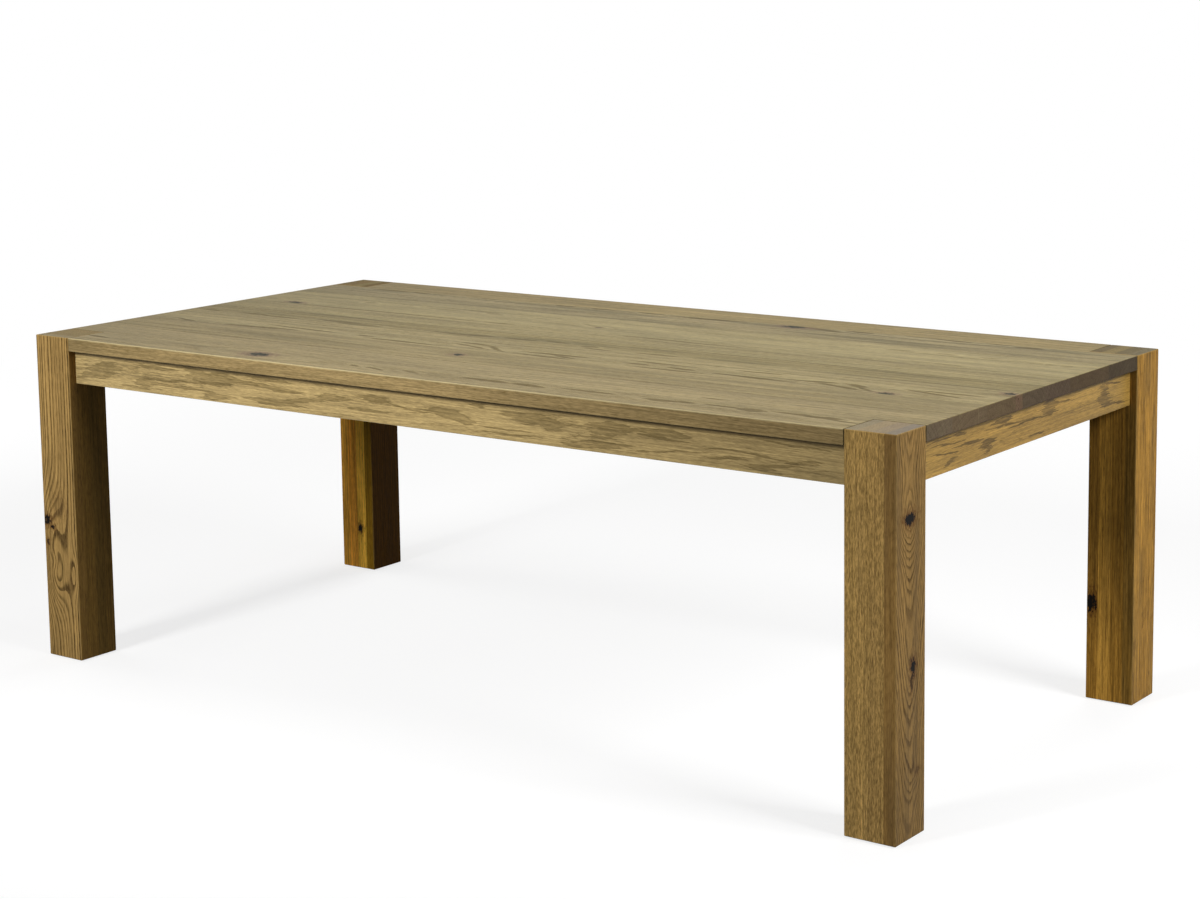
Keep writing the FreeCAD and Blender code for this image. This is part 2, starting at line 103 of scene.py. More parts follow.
class Sheet:
    """A node tree with short ways to add and link nodes."""

    def __init__(self, tree: bpy.types.NodeTree) -> None:
        """Keep the tree to draw on."""
        self.tree = tree

    def node(self, kind: str, **settings: object) -> bpy.types.Node:
        """Add a node.

        Args:
            kind: The node's type name.
            **settings: Attributes to set on it.

        Returns:
            The new node.
        """
        made = self.tree.nodes.new(kind)
        for name, value in settings.items():
            setattr(made, name, value)
        return made

    def feed(self, socket: Socket, value: object) -> None:
        """Link an input, or set its own value.

        Args:
            socket: The input.
            value: The socket to link it to, or a plain value.
        """
        if isinstance(value, bpy.types.NodeSocket):
            self.tree.links.new(value, socket)
        else:
            socket.default_value = value

    def math(self, operation: str, first: object, second: object = 0.0, third: object = 0.0) -> Socket:
        """Work out one number.

        Args:
            operation: The Math node's operation.
            first: First value or socket.
            second: Second value or socket.
            third: Third value or socket.

        Returns:
            The result's socket.
        """
        made = self.node("ShaderNodeMath", operation=operation)
        for socket, value in zip(made.inputs, (first, second, third)):
            self.feed(socket, value)
        return made.outputs[0]

    def times(self, first: object, second: object) -> Socket:
        """Two numbers multiplied."""
        return self.math("MULTIPLY", first, second)

    def plus(self, first: object, second: object) -> Socket:
        """Two numbers added."""
        return self.math("ADD", first, second)

    def minus(self, first: object, second: object) -> Socket:
        """The first number less the second."""
        return self.math("SUBTRACT", first, second)

    def over(self, first: object, second: object) -> Socket:
        """The first number divided by the second."""
        return self.math("DIVIDE", first, second)

    def squares(self, first: Socket, second: Socket) -> Socket:
        """The squares of two numbers, added."""
        return self.math("MULTIPLY_ADD", first, first, self.times(second, second))

    def smooth(self, value: object, low: object, high: object,
               start: float = 0.0, end: float = 1.0) -> Socket:
        """Ease from one number to another.

        Args:
            value: The value or socket to follow.
            low: Where the easing starts.
            high: Where it ends.
            start: The result up to low.
            end: The result from high.

        Returns:
            The result's socket.
        """
        made = self.node("ShaderNodeMapRange", interpolation_type="SMOOTHSTEP")
        for socket, item in zip(made.inputs, (value, low, high, start, end)):
            self.feed(socket, item)
        return made.outputs[0]

    def split(self, vector: Socket) -> tuple[Socket, Socket, Socket]:
        """Take a vector apart.

        Args:
            vector: The vector's socket.

        Returns:
            The sockets of its three parts.
        """
        made = self.node("ShaderNodeSeparateXYZ")
        self.feed(made.inputs[0], vector)
        return tuple(made.outputs)

    def join(self, first: object, second: object, third: object) -> Socket:
        """Make a vector.

        Args:
            first: First value or socket.
            second: Second value or socket.
            third: Third value or socket.

        Returns:
            The vector's socket.
        """
        made = self.node("ShaderNodeCombineXYZ")
        for socket, value in zip(made.inputs, (first, second, third)):
            self.feed(socket, value)
        return made.outputs[0]

    def noise(self, place: Socket, sizes: object, seed: object,
              detail: float = 2.0, roughness: float = 0.5) -> Socket:
        """Soft noise around a half.

        Args:
            place: Where to read it.
            sizes: The size of its cells on each axis, or a socket with the cells in each millimetre.
            seed: A vector that says which of many patterns to read.
            detail: How many finer layers are laid over it.
            roughness: How strong the finer layers are.

        Returns:
            The noise value's socket.
        """
        spot = self.node("ShaderNodeVectorMath", operation="MULTIPLY_ADD")
        self.feed(spot.inputs[0], place)
        if not isinstance(sizes, bpy.types.NodeSocket):
            sizes = [1.0 / size for size in sizes]
        self.feed(spot.inputs[1], sizes)
        self.feed(spot.inputs[2], seed)
        made = self.node("ShaderNodeTexNoise", noise_dimensions="3D")
        self.feed(made.inputs["Vector"], spot.outputs[0])
        made.inputs["Scale"].default_value = 1.0
        made.inputs["Detail"].default_value = detail
        made.inputs["Roughness"].default_value = roughness
        return made.outputs[0]

    def drift(self, value: Socket, size: float, seed: object, detail: float = 1.0) -> Socket:
        """Slow noise along one number.

        Args:
            value: The number to read it along.
            size: The length of its cells.
            seed: Which of many patterns to read.
            detail: How many finer layers are laid over it.

        Returns:
            A socket from about minus a half to plus a half.
        """
        made = self.node("ShaderNodeTexNoise", noise_dimensions="1D")
        self.feed(made.inputs["W"], self.math("MULTIPLY_ADD", value, 1.0 / size, seed))
        made.inputs["Scale"].default_value = 1.0
        made.inputs["Detail"].default_value = detail
        return self.minus(made.outputs[0], 0.5)

    def mix(self, share: object, first: object, second: object, blend: str = "MIX") -> Socket:
        """A colour between two others.

        Args:
            share: How much of the second colour.
            first: First colour or socket.
            second: Second colour or socket.
            blend: The Mix node's blend type.

        Returns:
            The colour's socket.
        """
        made = self.node("ShaderNodeMix", data_type="RGBA", blend_type=blend)
        self.feed(made.inputs[0], share)
        self.feed(made.inputs[6], first)
        self.feed(made.inputs[7], second)
        return made.outputs[2]

    def shade(self, colour: Socket, level: Socket) -> Socket:
        """A colour made lighter or darker by a level."""
        return self.mix(1.0, colour, self.join(level, level, level), "MULTIPLY")

    def millimetres(self) -> tuple[Socket, Socket]:
        """Find where on the piece the shader is.

        Returns:
            The place in millimetres, and the way the surface faces.
        """
        here = self.node("ShaderNodeTexCoord")
        scale = self.node("ShaderNodeVectorMath", operation="SCALE")
        self.feed(scale.inputs[0], here.outputs["Object"])
        scale.inputs["Scale"].default_value = MILLIMETRES
        return scale.outputs[0], here.outputs["Normal"]


def cells_in_millimetre(size: Cells) -> tuple[float, float, float]:
    """How many cells of a length and width lie in a millimetre, along, across and through."""
    return (1.0 / size[0], 1.0 / size[1], 1.0 / size[1])


def corners_in_millimetres(nodes: list[str]) -> tuple[Vector, Vector]:
    """Find the box round a set of nodes.

    Args:
        nodes: The CAD nodes.

    Returns:
        Its lowest and highest corner, in millimetres.
    """
    boxes = [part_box(node) for node in nodes]
    low = Vector([min(box[0][axis] for box in boxes) for axis in range(3)])
    high = Vector([max(box[1][axis] for box in boxes) for axis in range(3)])
    return low * MILLIMETRES, high * MILLIMETRES


def start_finish(name: str) -> tuple[bpy.types.Material, Sheet, bpy.types.Node]:
    """Start a material.

    Args:
        name: The material's name.

    Returns:
        The material, its node tree and its surface node.
    """
    material = bpy.data.materials.new(name)
    material.use_nodes = True
    tree = material.node_tree
    return material, Sheet(tree), tree.nodes["Principled BSDF"]


def add_relief(sheet: Sheet, surface: bpy.types.Node, height: Socket,
               strength: float, depth: float) -> None:
    """Give a surface fine relief.

    Args:
        sheet: The material's node tree.
        surface: Its surface node.
        height: The relief's height.
        strength: How strongly it shows.
        depth: Its depth in metres.
    """
    bump = sheet.node("ShaderNodeBump")
    bump.inputs["Strength"].default_value = strength
    bump.inputs["Distance"].default_value = depth
    sheet.feed(bump.inputs["Height"], height)
    sheet.feed(surface.inputs["Normal"], bump.outputs["Normal"])


def put_on(node: str, material: bpy.types.Material) -> None:
    """Give a CAD node its material and report it.

    Args:
        node: The CAD node.
        material: Its material.
    """
    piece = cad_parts[node]
    piece.data.materials.clear()
    piece.data.materials.append(material)
    log.info("dressed %s", node)


class Effect:
    """A shader node group with named inputs and outputs, built once and placed in many materials.

    Cells and lengths are in millimetres. An ease is where a mark begins and where it ends, and the values
    that it goes between if these aren't zero and one.
    """

    title = ""
    inputs: dict[str, str] = {}
    outputs: dict[str, str] = {}

    def __init__(self) -> None:
        """Make the group and draw its nodes."""
        tree = bpy.data.node_groups.new(self.title, "ShaderNodeTree")
        for name, kind in self.inputs.items():
            tree.interface.new_socket(name=name, in_out="INPUT", socket_type=f"NodeSocket{kind}")
        for name, kind in self.outputs.items():
            tree.interface.new_socket(name=name, in_out="OUTPUT", socket_type=f"NodeSocket{kind}")
        self.tree = tree
        self.sheet = Sheet(tree)
        self.given = self.sheet.node("NodeGroupInput").outputs
        self.results = self.sheet.node("NodeGroupOutput").inputs
        self.draw()

    def draw(self) -> None:
        """Draw the group's nodes."""
        raise NotImplementedError

    def give(self, **results: object) -> None:
        """Link the group's outputs by their names."""
        for name, value in results.items():
            self.sheet.feed(self.results[name], value)

    def place(self, sheet: Sheet, values: dict[str, object]) -> Outputs:
        """Put the group in a material.

        Args:
            sheet: The material's node tree.
            values: Values and sockets for the group's inputs, by name.

        Returns:
            The group's output sockets.
        """
        made = sheet.node("ShaderNodeGroup", node_tree=self.tree)
        for name, value in values.items():
            sheet.feed(made.inputs[name], value)
        return made.outputs


class OakFigure(Effect):
    """Growth rings, pores, fibres and stain streaks of oak, cut from a log about its pith."""

    title = "Oak figure"
    inputs = {
        "Place": "Vector", "Bend": "Float", "Middle": "Float", "Pith Across": "Float",
        "Pith Through": "Float", "Ring Width": "Float", "Line": "Float", "Band": "Float", "Fill": "Float",
        "Tilt": "Float", "Taper": "Float", "Wander": "Float", "Ripple": "Float", "Cells": "Vector",
        "Feather": "Float", "Fleck": "Float", "Dash Cells": "Vector", "Streak Cells": "Vector",
        "Thread": "Float", "Seed": "Vector",
    }
    outputs = {"Rings": "Float", "Pores": "Float", "Shade": "Float", "Streaks": "Float", "Rays": "Float"}
    pore_cells = (12.0, 0.8, 0.8)
    thread_cells = (170.0, 2.8, 2.8)
    broad_cells = (520.0, 48.0, 48.0)
    ragged_cells = (44.0, 3.2, 3.2)
    ray_cells = (1.0, 1.0, 1.0)
    rays_in_turn = 90.0
    ray_length = 30.0
    sway_length = 620.0
    lift_length = 480.0
    years_in_spell = 4.0
    spring_ease = (0.0, 0.05)
    line_soft_from = 0.4
    band_soft_from = 0.7
    faintest_year = 0.5
    ring_dash_ease = (0.2, 0.8, 1.3, 0.6)
    pore_ease = (0.55, 0.7)
    pores_between_rings = 0.3
    fleck_ease = (0.25, 0.75, -0.5, 0.5)
    thread_ease = (0.2, 0.8, -1.0, 1.0)
    broad_ease = (0.25, 0.75, 0.88, 1.12)
    streak_ease = (0.44, 0.66)
    ray_ease = (0.58, 0.68)

    def draw(self) -> None:
        """Draw the ring field and the finer marks along the fibres."""
        sheet = self.sheet
        given = self.given
        place = given["Place"]
        seed = given["Seed"]
        across, through, radius = self.log()
        dashes = sheet.noise(place, given["Dash Cells"], seed, 2.0, 0.6)
        rings = self.rings(self.years(radius), dashes)
        pores = sheet.smooth(sheet.noise(place, self.pore_cells, seed, 1.0), *self.pore_ease)
        room = sheet.math("MULTIPLY_ADD", rings, 1.0 - self.pores_between_rings, self.pores_between_rings)
        pores = sheet.times(pores, room)
        threads = sheet.noise(place, self.thread_cells, seed, 3.0, 0.6)
        broad = sheet.noise(place, self.broad_cells, seed)
        fleck = sheet.math("MULTIPLY_ADD", sheet.smooth(dashes, *self.fleck_ease), given["Fleck"], 1.0)
        thread = sheet.math("MULTIPLY_ADD", sheet.smooth(threads, *self.thread_ease), given["Thread"], 1.0)
        shade = sheet.times(thread, fleck)
        shade = sheet.times(shade, sheet.smooth(broad, *self.broad_ease))
        streaks = sheet.smooth(sheet.noise(place, given["Streak Cells"], seed, 4.0), *self.streak_ease)
        turn = sheet.times(sheet.math("ARCTAN2", through, across), self.rays_in_turn)
        spokes = sheet.join(turn, sheet.over(radius, self.ray_length), 0.0)
        rays = sheet.smooth(sheet.noise(spokes, self.ray_cells, seed, 1.0), *self.ray_ease)
        self.give(Rings=rings, Pores=pores, Shade=shade, Streaks=streaks, Rays=rays)

    def rings(self, years: Socket, dashes: Socket) -> Socket:
        """Draw each year's dark line and the band behind it, some years more strongly than others.

        Args:
            years: The age of the wood.
            dashes: The noise of the pores.

        Returns:
            The darkness of the rings.
        """
        sheet = self.sheet
        given = self.given
        year = sheet.math("FLOOR", years)
        season = sheet.minus(years, year)
        luck = sheet.node("ShaderNodeTexWhiteNoise", noise_dimensions="1D")
        sheet.feed(luck.inputs["W"], sheet.plus(year, sheet.split(given["Seed"])[0]))
        strength = sheet.math("MULTIPLY_ADD", luck.outputs["Value"], 1.0 - self.faintest_year,
                              self.faintest_year)
        rise = sheet.smooth(season, *self.spring_ease)
        line_from = sheet.times(given["Line"], self.line_soft_from)
        line = sheet.smooth(season, line_from, given["Line"], 1.0, 0.0)
        band_from = sheet.times(given["Band"], self.band_soft_from)
        band = sheet.smooth(season, band_from, given["Band"], 1.0, 0.0)
        band = sheet.times(band, given["Fill"])
        rings = sheet.times(rise, sheet.math("MAXIMUM", line, band))
        rings = sheet.times(rings, strength)
        return sheet.times(rings, sheet.smooth(dashes, *self.ring_dash_ease))

    def log(self) -> tuple[Socket, Socket, Socket]:
        """Find how far the place is from the wandering pith.

        Returns:
            The distance across, the distance through and the radius.
        """
        sheet = self.sheet
        given = self.given
        along, across, through = sheet.split(given["Place"])
        first, second, _ = sheet.split(given["Seed"])
        sway = sheet.times(sheet.drift(along, self.sway_length, first), given["Wander"])
        lift = sheet.times(sheet.drift(along, self.lift_length, second, 2.0), given["Wander"])
        lean = sheet.times(sheet.minus(along, given["Middle"]), given["Tilt"])
        lift = sheet.plus(lift, lean)
        off_across = sheet.minus(sheet.minus(across, given["Pith Across"]), sway)
        off_through = sheet.minus(sheet.minus(through, given["Pith Through"]), lift)
        return off_across, off_through, sheet.math("SQRT", sheet.squares(off_across, off_through))

    def years(self, radius: Socket) -> Socket:
        """Find the age of the wood, with the waves and ragged edges of its rings.

        Args:
            radius: The distance from the pith.

        Returns:
            The age in years.
        """
        sheet = self.sheet
        given = self.given
        place = given["Place"]
        seed = given["Seed"]
        ripple = sheet.noise(place, given["Cells"], seed, 2.5, 0.5)
        radius = sheet.math("MULTIPLY_ADD", sheet.minus(ripple, 0.5), given["Ripple"], radius)
        rise = sheet.minus(sheet.split(place)[0], given["Middle"])
        radius = sheet.math("MULTIPLY_ADD", rise, given["Taper"], radius)
        years = sheet.over(sheet.plus(radius, given["Bend"]), given["Ring Width"])
        spell = sheet.drift(years, self.years_in_spell, sheet.split(seed)[2], 2.0)
        years = sheet.math("MULTIPLY_ADD", spell, 2.0, years)
        ragged = sheet.noise(place, self.ragged_cells, seed, 3.0, 0.6)
        return sheet.math("MULTIPLY_ADD", sheet.minus(ragged, 0.5), given["Feather"], years)


class OakKnot(Effect):
    """One knot that goes through a board: its dark core, its halo and how it swells the rings."""

    title = "Oak knot"
    inputs = {
        "Place": "Vector", "Along": "Float", "Across": "Float", "Radius": "Float",
        "Stretch": "Float", "Swell": "Float", "Spread": "Float", "Face": "Float", "Reach": "Float",
        "Seed": "Vector",
    }
    outputs = {"Core": "Float", "Halo": "Float", "Bend": "Float"}
    ragged_cells = (8.0, 5.0, 14.0)
    sound_cells = (11.0, 9.0, 30.0)
    fade_ease = (0.6, 1.0, 1.0, 0.0)
    ragged_ease = (0.25, 0.75, 0.55, 1.6)
    core_ease = (0.88, 1.06, 1.0, 0.0)
    sound_ease = (0.58, 0.68, 1.0, 0.6)
    halo_ease = (0.8, 2.6, 1.0, 0.0)
    swell_along = 0.55

    def draw(self) -> None:
        """Draw the knot by the distance from its middle, in radii, with a brown part left in its core."""
        sheet = self.sheet
        given = self.given
        along, across, below = sheet.split(given["Place"])
        below = sheet.math("ABSOLUTE", sheet.minus(below, given["Face"]))
        inside = sheet.smooth(sheet.over(below, given["Reach"]), *self.fade_ease)
        off_along = sheet.over(sheet.minus(along, given["Along"]), given["Stretch"])
        off_across = sheet.minus(across, given["Across"])
        far = self.reach(off_along, off_across, given["Radius"])
        ragged = sheet.noise(given["Place"], self.ragged_cells, given["Seed"], 3.0, 0.6)
        rough = sheet.times(far, sheet.smooth(ragged, *self.ragged_ease))
        sound = sheet.noise(given["Place"], self.sound_cells, given["Seed"], 1.0)
        core = sheet.times(sheet.smooth(rough, *self.core_ease), sheet.smooth(sound, *self.sound_ease))
        halo = sheet.smooth(rough, *self.halo_ease)
        wide = self.reach(sheet.times(off_along, self.swell_along), off_across,
                          sheet.times(given["Radius"], given["Spread"]))
        swell = sheet.math("EXPONENT", sheet.times(sheet.times(wide, wide), -1.0))
        self.give(Core=sheet.times(core, inside), Halo=sheet.times(halo, inside),
                  Bend=sheet.times(swell, given["Swell"]))

    def reach(self, off_along: Socket, off_across: Socket, radius: object) -> Socket:
        """Measure how far the place is from the knot's middle.

        Args:
            off_along: The distance along the fibres.
            off_across: The distance across them.
            radius: The knot's radius.

        Returns:
            The distance in radii.
        """
        sheet = self.sheet
        return sheet.over(sheet.math("SQRT", sheet.squares(off_along, off_across)), radius)


class RingPush(Effect):
    """A soft push on the growth rings, which makes them sweep aside and curl."""

    title = "Ring push"
    inputs = {
        "Place": "Vector", "Along": "Float", "Across": "Float", "Length": "Float", "Width": "Float",
        "Push": "Float",
    }
    outputs = {"Bend": "Float"}

    def draw(self) -> None:
        """Draw a push that fades with the distance from its middle."""
        sheet = self.sheet
        given = self.given
        along, across, _ = sheet.split(given["Place"])
        off_along = sheet.over(sheet.minus(along, given["Along"]), given["Length"])
        off_across = sheet.over(sheet.minus(across, given["Across"]), given["Width"])
        fade = sheet.math("EXPONENT", sheet.times(sheet.squares(off_along, off_across), -1.0))
        self.give(Bend=sheet.times(fade, given["Push"]))


class OakFlame(Effect):
    """One flame of the figure, where a growth ring meets the face of a flat cut board: a pointed lens."""

    title = "Oak flame"
    inputs = {
        "Place": "Vector", "Along": "Float", "Across": "Float", "Half Length": "Float",
        "Half Width": "Float", "Slant": "Float",
    }
    outputs = {"Depth": "Float"}

    def draw(self) -> None:
        """Draw how far the place is inside the lens, in millimetres."""
        sheet = self.sheet
        given = self.given
        along, across, _ = sheet.split(given["Place"])
        off_along = sheet.minus(along, given["Along"])
        off_across = sheet.minus(sheet.minus(across, given["Across"]),
                                 sheet.times(off_along, given["Slant"]))
        share = sheet.over(off_along, given["Half Length"])
        room = sheet.minus(1.0, sheet.times(share, share))
        room = sheet.times(room, given["Half Width"])
        self.give(Depth=sheet.minus(room, sheet.math("ABSOLUTE", off_across)))


class FlameBend(Effect):
    """Bends the lenses of the flames: slow waves across the board, and fingers along its fibres."""

    title = "Flame bend"
    inputs = {"Place": "Vector", "Wave": "Float", "Finger": "Float", "Seed": "Vector"}
    outputs = {"Place": "Vector"}
    finger_cells = (130.0, 3.0, 3.0)
    wave_cells = (85.0, 15.0, 15.0)

    def draw(self) -> None:
        """Move the place by two noises."""
        sheet = self.sheet
        given = self.given
        along, across, through = sheet.split(given["Place"])
        fingers = sheet.noise(given["Place"], self.finger_cells, given["Seed"], 3.0, 0.55)
        waves = sheet.noise(given["Place"], self.wave_cells, given["Seed"], 3.0, 0.55)
        along = sheet.math("MULTIPLY_ADD", sheet.minus(fingers, 0.5), given["Finger"], along)
        across = sheet.math("MULTIPLY_ADD", sheet.minus(waves, 0.5), given["Wave"], across)
        self.give(Place=sheet.join(along, across, through))


class FlameEdge(Effect):
    """The darkness of the flames: a dark rim where the pores lie, a streaky middle and a pale border."""

    title = "Flame edge"
    inputs = {"Place": "Vector", "Depth": "Float", "Rim": "Float", "Fill": "Float", "Seed": "Vector"}
    outputs = {"Mask": "Float", "Border": "Float"}
    tooth_cells = (26.0, 1.8, 1.8)
    body_cells = (80.0, 4.5, 4.5)
    tooth_depth = 2.5
    inside_ease = (-0.3, 0.4)
    middle_ease = (0.7, 2.0)
    body_ease = (0.3, 0.7, 0.6, 1.15)
    border_ease = (-2.2, -0.6)

    def draw(self) -> None:
        """Draw the rim, the middle and the border by the depth inside the flames."""
        sheet = self.sheet
        given = self.given
        place = given["Place"]
        seed = given["Seed"]
        teeth = sheet.minus(sheet.noise(place, self.tooth_cells, seed, 2.0, 0.6), 0.5)
        depth = sheet.math("MULTIPLY_ADD", teeth, self.tooth_depth, given["Depth"])
        depth = sheet.over(depth, given["Rim"])
        inside = sheet.smooth(depth, *self.inside_ease)
        middle = sheet.smooth(depth, *self.middle_ease)
        body = sheet.smooth(sheet.noise(place, self.body_cells, seed, 3.0, 0.6), *self.body_ease)
        body = sheet.times(body, given["Fill"])
        paler = sheet.times(middle, sheet.minus(1.0, body))
        outside = sheet.minus(1.0, inside)
        border = sheet.times(sheet.smooth(depth, *self.border_ease), outside)
        self.give(Mask=sheet.times(inside, sheet.minus(1.0, paler)), Border=border)


class EasedArris(Effect):
    """A mask along the edges of a block, which are coloured pale: partly finish worn thin by sanding,
    partly a painted highlight.
    """

    title = "Eased arris"
    inputs = {"Place": "Vector", "Low": "Vector", "High": "Vector", "Width": "Float", "Seed": "Vector"}
    outputs = {"Mask": "Float"}
    wear_and_highlight_cells = (40.0, 40.0, 40.0)
    narrowest = 0.4
    widening = 1.2
    edge_ease = (0.3, 1.0, 1.0, 0.0)

    def draw(self) -> None:
        """Draw the mask where two faces of the block are near at once."""
        sheet = self.sheet
        given = self.given
        gaps = []
        for here, low, high in zip(*(sheet.split(given[name]) for name in ("Place", "Low", "High"))):
            to_low = sheet.math("ABSOLUTE", sheet.minus(here, low))
            to_high = sheet.math("ABSOLUTE", sheet.minus(here, high))
            gaps.append(sheet.math("MINIMUM", to_low, to_high))
        nearer = sheet.math("MINIMUM", gaps[0], gaps[1])
        further = sheet.math("MAXIMUM", gaps[0], gaps[1])
        second = sheet.math("MAXIMUM", nearer, sheet.math("MINIMUM", further, gaps[2]))
        wear_and_highlight = sheet.noise(given["Place"], self.wear_and_highlight_cells, given["Seed"], 3.0)
        wear_and_highlight = sheet.math("MULTIPLY_ADD", wear_and_highlight, self.widening, self.narrowest)
        reach = sheet.times(given["Width"], wear_and_highlight)
        self.give(Mask=sheet.smooth(sheet.over(second, reach), *self.edge_ease))


class NotchLine(Effect):
    """A mask on the top along the four notches that take the legs."""

    title = "Notch line"
    inputs = {"Place": "Vector", "Half Length": "Float", "Half Width": "Float"}
    outputs = {"Mask": "Float"}
    line_ease = (0.5, 2.2, 1.0, 0.0)

    def draw(self) -> None:
        """Draw the mask by the distance from the nearest leg."""
        sheet = self.sheet
        given = self.given
        along, across, _ = sheet.split(given["Place"])
        off_along = sheet.minus(given["Half Length"], sheet.math("ABSOLUTE", along))
        off_across = sheet.minus(given["Half Width"], sheet.math("ABSOLUTE", across))
        gap = sheet.math("MAXIMUM", off_along, off_across)
        self.give(Mask=sheet.smooth(gap, *self.line_ease))


class PlatedSteel(Effect):
    """Zinc plate: pale blotches, a faint yellow bloom, and fine rolling marks."""

    title = "Plated steel"
    inputs = {"Place": "Vector", "Seed": "Vector"}
    outputs = {"Colour": "Color", "Roughness": "Float", "Height": "Float"}
    blotch_cells = (7.0, 7.0, 7.0)
    bloom_cells = (22.0, 22.0, 22.0)
    mark_cells = (18.0, 0.9, 0.9)
    blotch_ease = (0.3, 0.7)
    bloom_ease = (0.5, 0.8, 0.0, 0.5)
    zinc = paint(158, 160, 162)
    bright_zinc = paint(196, 198, 200)
    bloomed_zinc = paint(190, 182, 152)
    smoothest = 0.2
    rough_marks = 0.12
    rough_blotches = 0.22

    def draw(self) -> None:
        """Draw the plate's blotches and marks."""
        sheet = self.sheet
        place = self.given["Place"]
        seed = self.given["Seed"]
        blotch = sheet.noise(place, self.blotch_cells, seed, 4.0, 0.6)
        bloom = sheet.noise(place, self.bloom_cells, seed, 2.0)
        marks = sheet.noise(place, self.mark_cells, seed, 2.0)
        colour = sheet.mix(sheet.smooth(blotch, *self.blotch_ease), self.zinc, self.bright_zinc)
        colour = sheet.mix(sheet.smooth(bloom, *self.bloom_ease), colour, self.bloomed_zinc)
        rough = sheet.math("MULTIPLY_ADD", marks, self.rough_marks, self.smoothest)
        rough = sheet.math("MULTIPLY_ADD", blotch, self.rough_blotches, rough)
        self.give(Colour=colour, Roughness=rough, Height=marks)


class MouldedNylon(Effect):
    """A moulded nylon foot: even, slightly mottled and scuffed towards the floor."""

    title = "Moulded nylon"
    inputs = {"Place": "Vector", "Seed": "Vector"}
    outputs = {"Colour": "Color", "Roughness": "Float", "Height": "Float"}
    mottle_cells = (3.0, 3.0, 3.0)
    scuff_cells = (9.0, 0.6, 0.6)
    mottle_ease = (0.3, 0.7)
    scuff_ease = (0.58, 0.72)
    floor_ease = (0.2, 2.0, 0.7, 0.1)
    nylon = paint(176, 168, 150)
    pale_nylon = paint(198, 191, 176)
    scuffed_nylon = paint(120, 112, 98)
    smoothest = 0.42
    rough_scuffs = 0.25

    def draw(self) -> None:
        """Draw the mottle and the scuffs."""
        sheet = self.sheet
        place = self.given["Place"]
        seed = self.given["Seed"]
        mottle = sheet.noise(place, self.mottle_cells, seed, 3.0, 0.6)
        scuffs = sheet.smooth(sheet.noise(place, self.scuff_cells, seed, 2.0), *self.scuff_ease)
        height = sheet.split(place)[2]
        worn = sheet.times(scuffs, sheet.smooth(height, *self.floor_ease))
        colour = sheet.mix(sheet.smooth(mottle, *self.mottle_ease), self.nylon, self.pale_nylon)
        colour = sheet.mix(worn, colour, self.scuffed_nylon)
        rough = sheet.math("MULTIPLY_ADD", worn, self.rough_scuffs, self.smoothest)
        self.give(Colour=colour, Roughness=rough, Height=mottle)


@dataclass(frozen=True)
class Knot:
    """A knot, placed along the fibres and across the face in millimetres of the table's frame.

    A knot on the side of a stick is placed through the stick instead of across its face. The face is
    where it shows, measured in the direction that the knot runs. The reach is how deep it goes, which is
    right through where none is given.
    """

    along: float
    across: float
    radius: float
    stretch: float = 1.3
    swell: float = 1.4
    spread: float = 3.0
    depth: float = 1.0
    on_side: bool = False
    face: float = 0.0
    reach: float = 9000.0


@dataclass(frozen=True)
class Swirl:
    """A push on the growth rings, by its middle, length, width and strength in millimetres."""

    along: float
    across: float
    length: float
    width: float
    push: float


@dataclass(frozen=True)
class Flame:
    """A flame of the figure, by its middle, length and width in millimetres and its slope."""

    along: float
    across: float
    length: float
    width: float
    slant: float = 0.0

    def turned(self) -> "Flame":
        """The same flame on the board turned end for end."""
        return replace(self, along=-self.along, slant=-self.slant)


@dataclass(frozen=True)
class OakTone:
    """The colours of one kind of oak, how much it shines and how strongly its edges are pale, partly from
    worn finish and partly as a painted highlight.
    """

    pale: Colour
    dark: Colour
    grey: Colour
    end: Colour
    edge: Colour
    knot: Colour = paint(24, 19, 15)
    halo: Colour = paint(74, 52, 24)
    gloss: float = 0.3
    wear_and_highlight: float = 0.75


@dataclass(frozen=True)
class OakCut:
    """How one stick was cut from its log, and how its figure shows.

    Lengths are in millimetres. The pith is measured from the stick's middle and wanders to and fro. The
    tilt is its rise through the stick for each millimetre along it, and the taper is how much the rings
    widen. A ring has a dark line and a band behind it, as shares of its width, and the fill is how dark
    the band is. The ripple makes the rings wavy, and the feather makes them ragged. The cells are the
    length and width of the waves, of the dashes of the pores and of the grey streaks. The fleck and the
    thread are how strongly the pores and the fibres show. The flames have a rim, a fill and a pale
    border, and waves across and fingers along the fibres bend them. The tint makes the whole stick
    lighter, darker or warmer. Its ends and its sides have one more tint each, which a leg has only on the
    side turned to the front or to the right. These tints are matched to how the light fell on each face,
    so besides the oak's own tone they hold painted light and shade. The shade is how dark a painted
    shadow lies along the upper edge, under the overhang of the top.
    """

    seed: float
    pith_across: float
    pith_through: float
    ring: float = 6.0
    line: float = 0.35
    band: float = 0.6
    fill: float = 0.4
    tilt: float = 0.0
    taper: float = 0.0
    wander: float = 8.0
    ripple: float = 5.0
    cells: Cells = (240.0, 20.0)
    feather: float = 0.5
    fleck: float = 0.45
    dash: Cells = (18.0, 1.9)
    streak: Cells = (430.0, 24.0)
    thread: float = 0.3
    contrast: float = 0.7
    grey_share: float = 0.15
    tint: Tint = NO_TINT
    side: Tint = NO_TINT
    end: Tint = NO_TINT
    knots: tuple[Knot, ...] = ()
    swirls: tuple[Swirl, ...] = ()
    flames: tuple[Flame, ...] = ()
    rim: float = 1.5
    flame_fill: float = 0.85
    flame_depth: float = 0.65
    wave: float = 16.0
    finger: float = 90.0
    border: float = 0.0
    shade: float = 0.0

    def stain(self, colour: Colour, again: Tint = NO_TINT) -> Colour:
        """A colour of the stick's oak under its own tint, and under one more."""
        return (*(part * share * more for part, share, more in zip(colour, self.tint, again)), 1.0)

    def pattern(self) -> tuple[float, float, float]:
        """The vector that picks the stick's own noise."""
        return tuple(self.seed * step for step in PATTERN_STEPS)


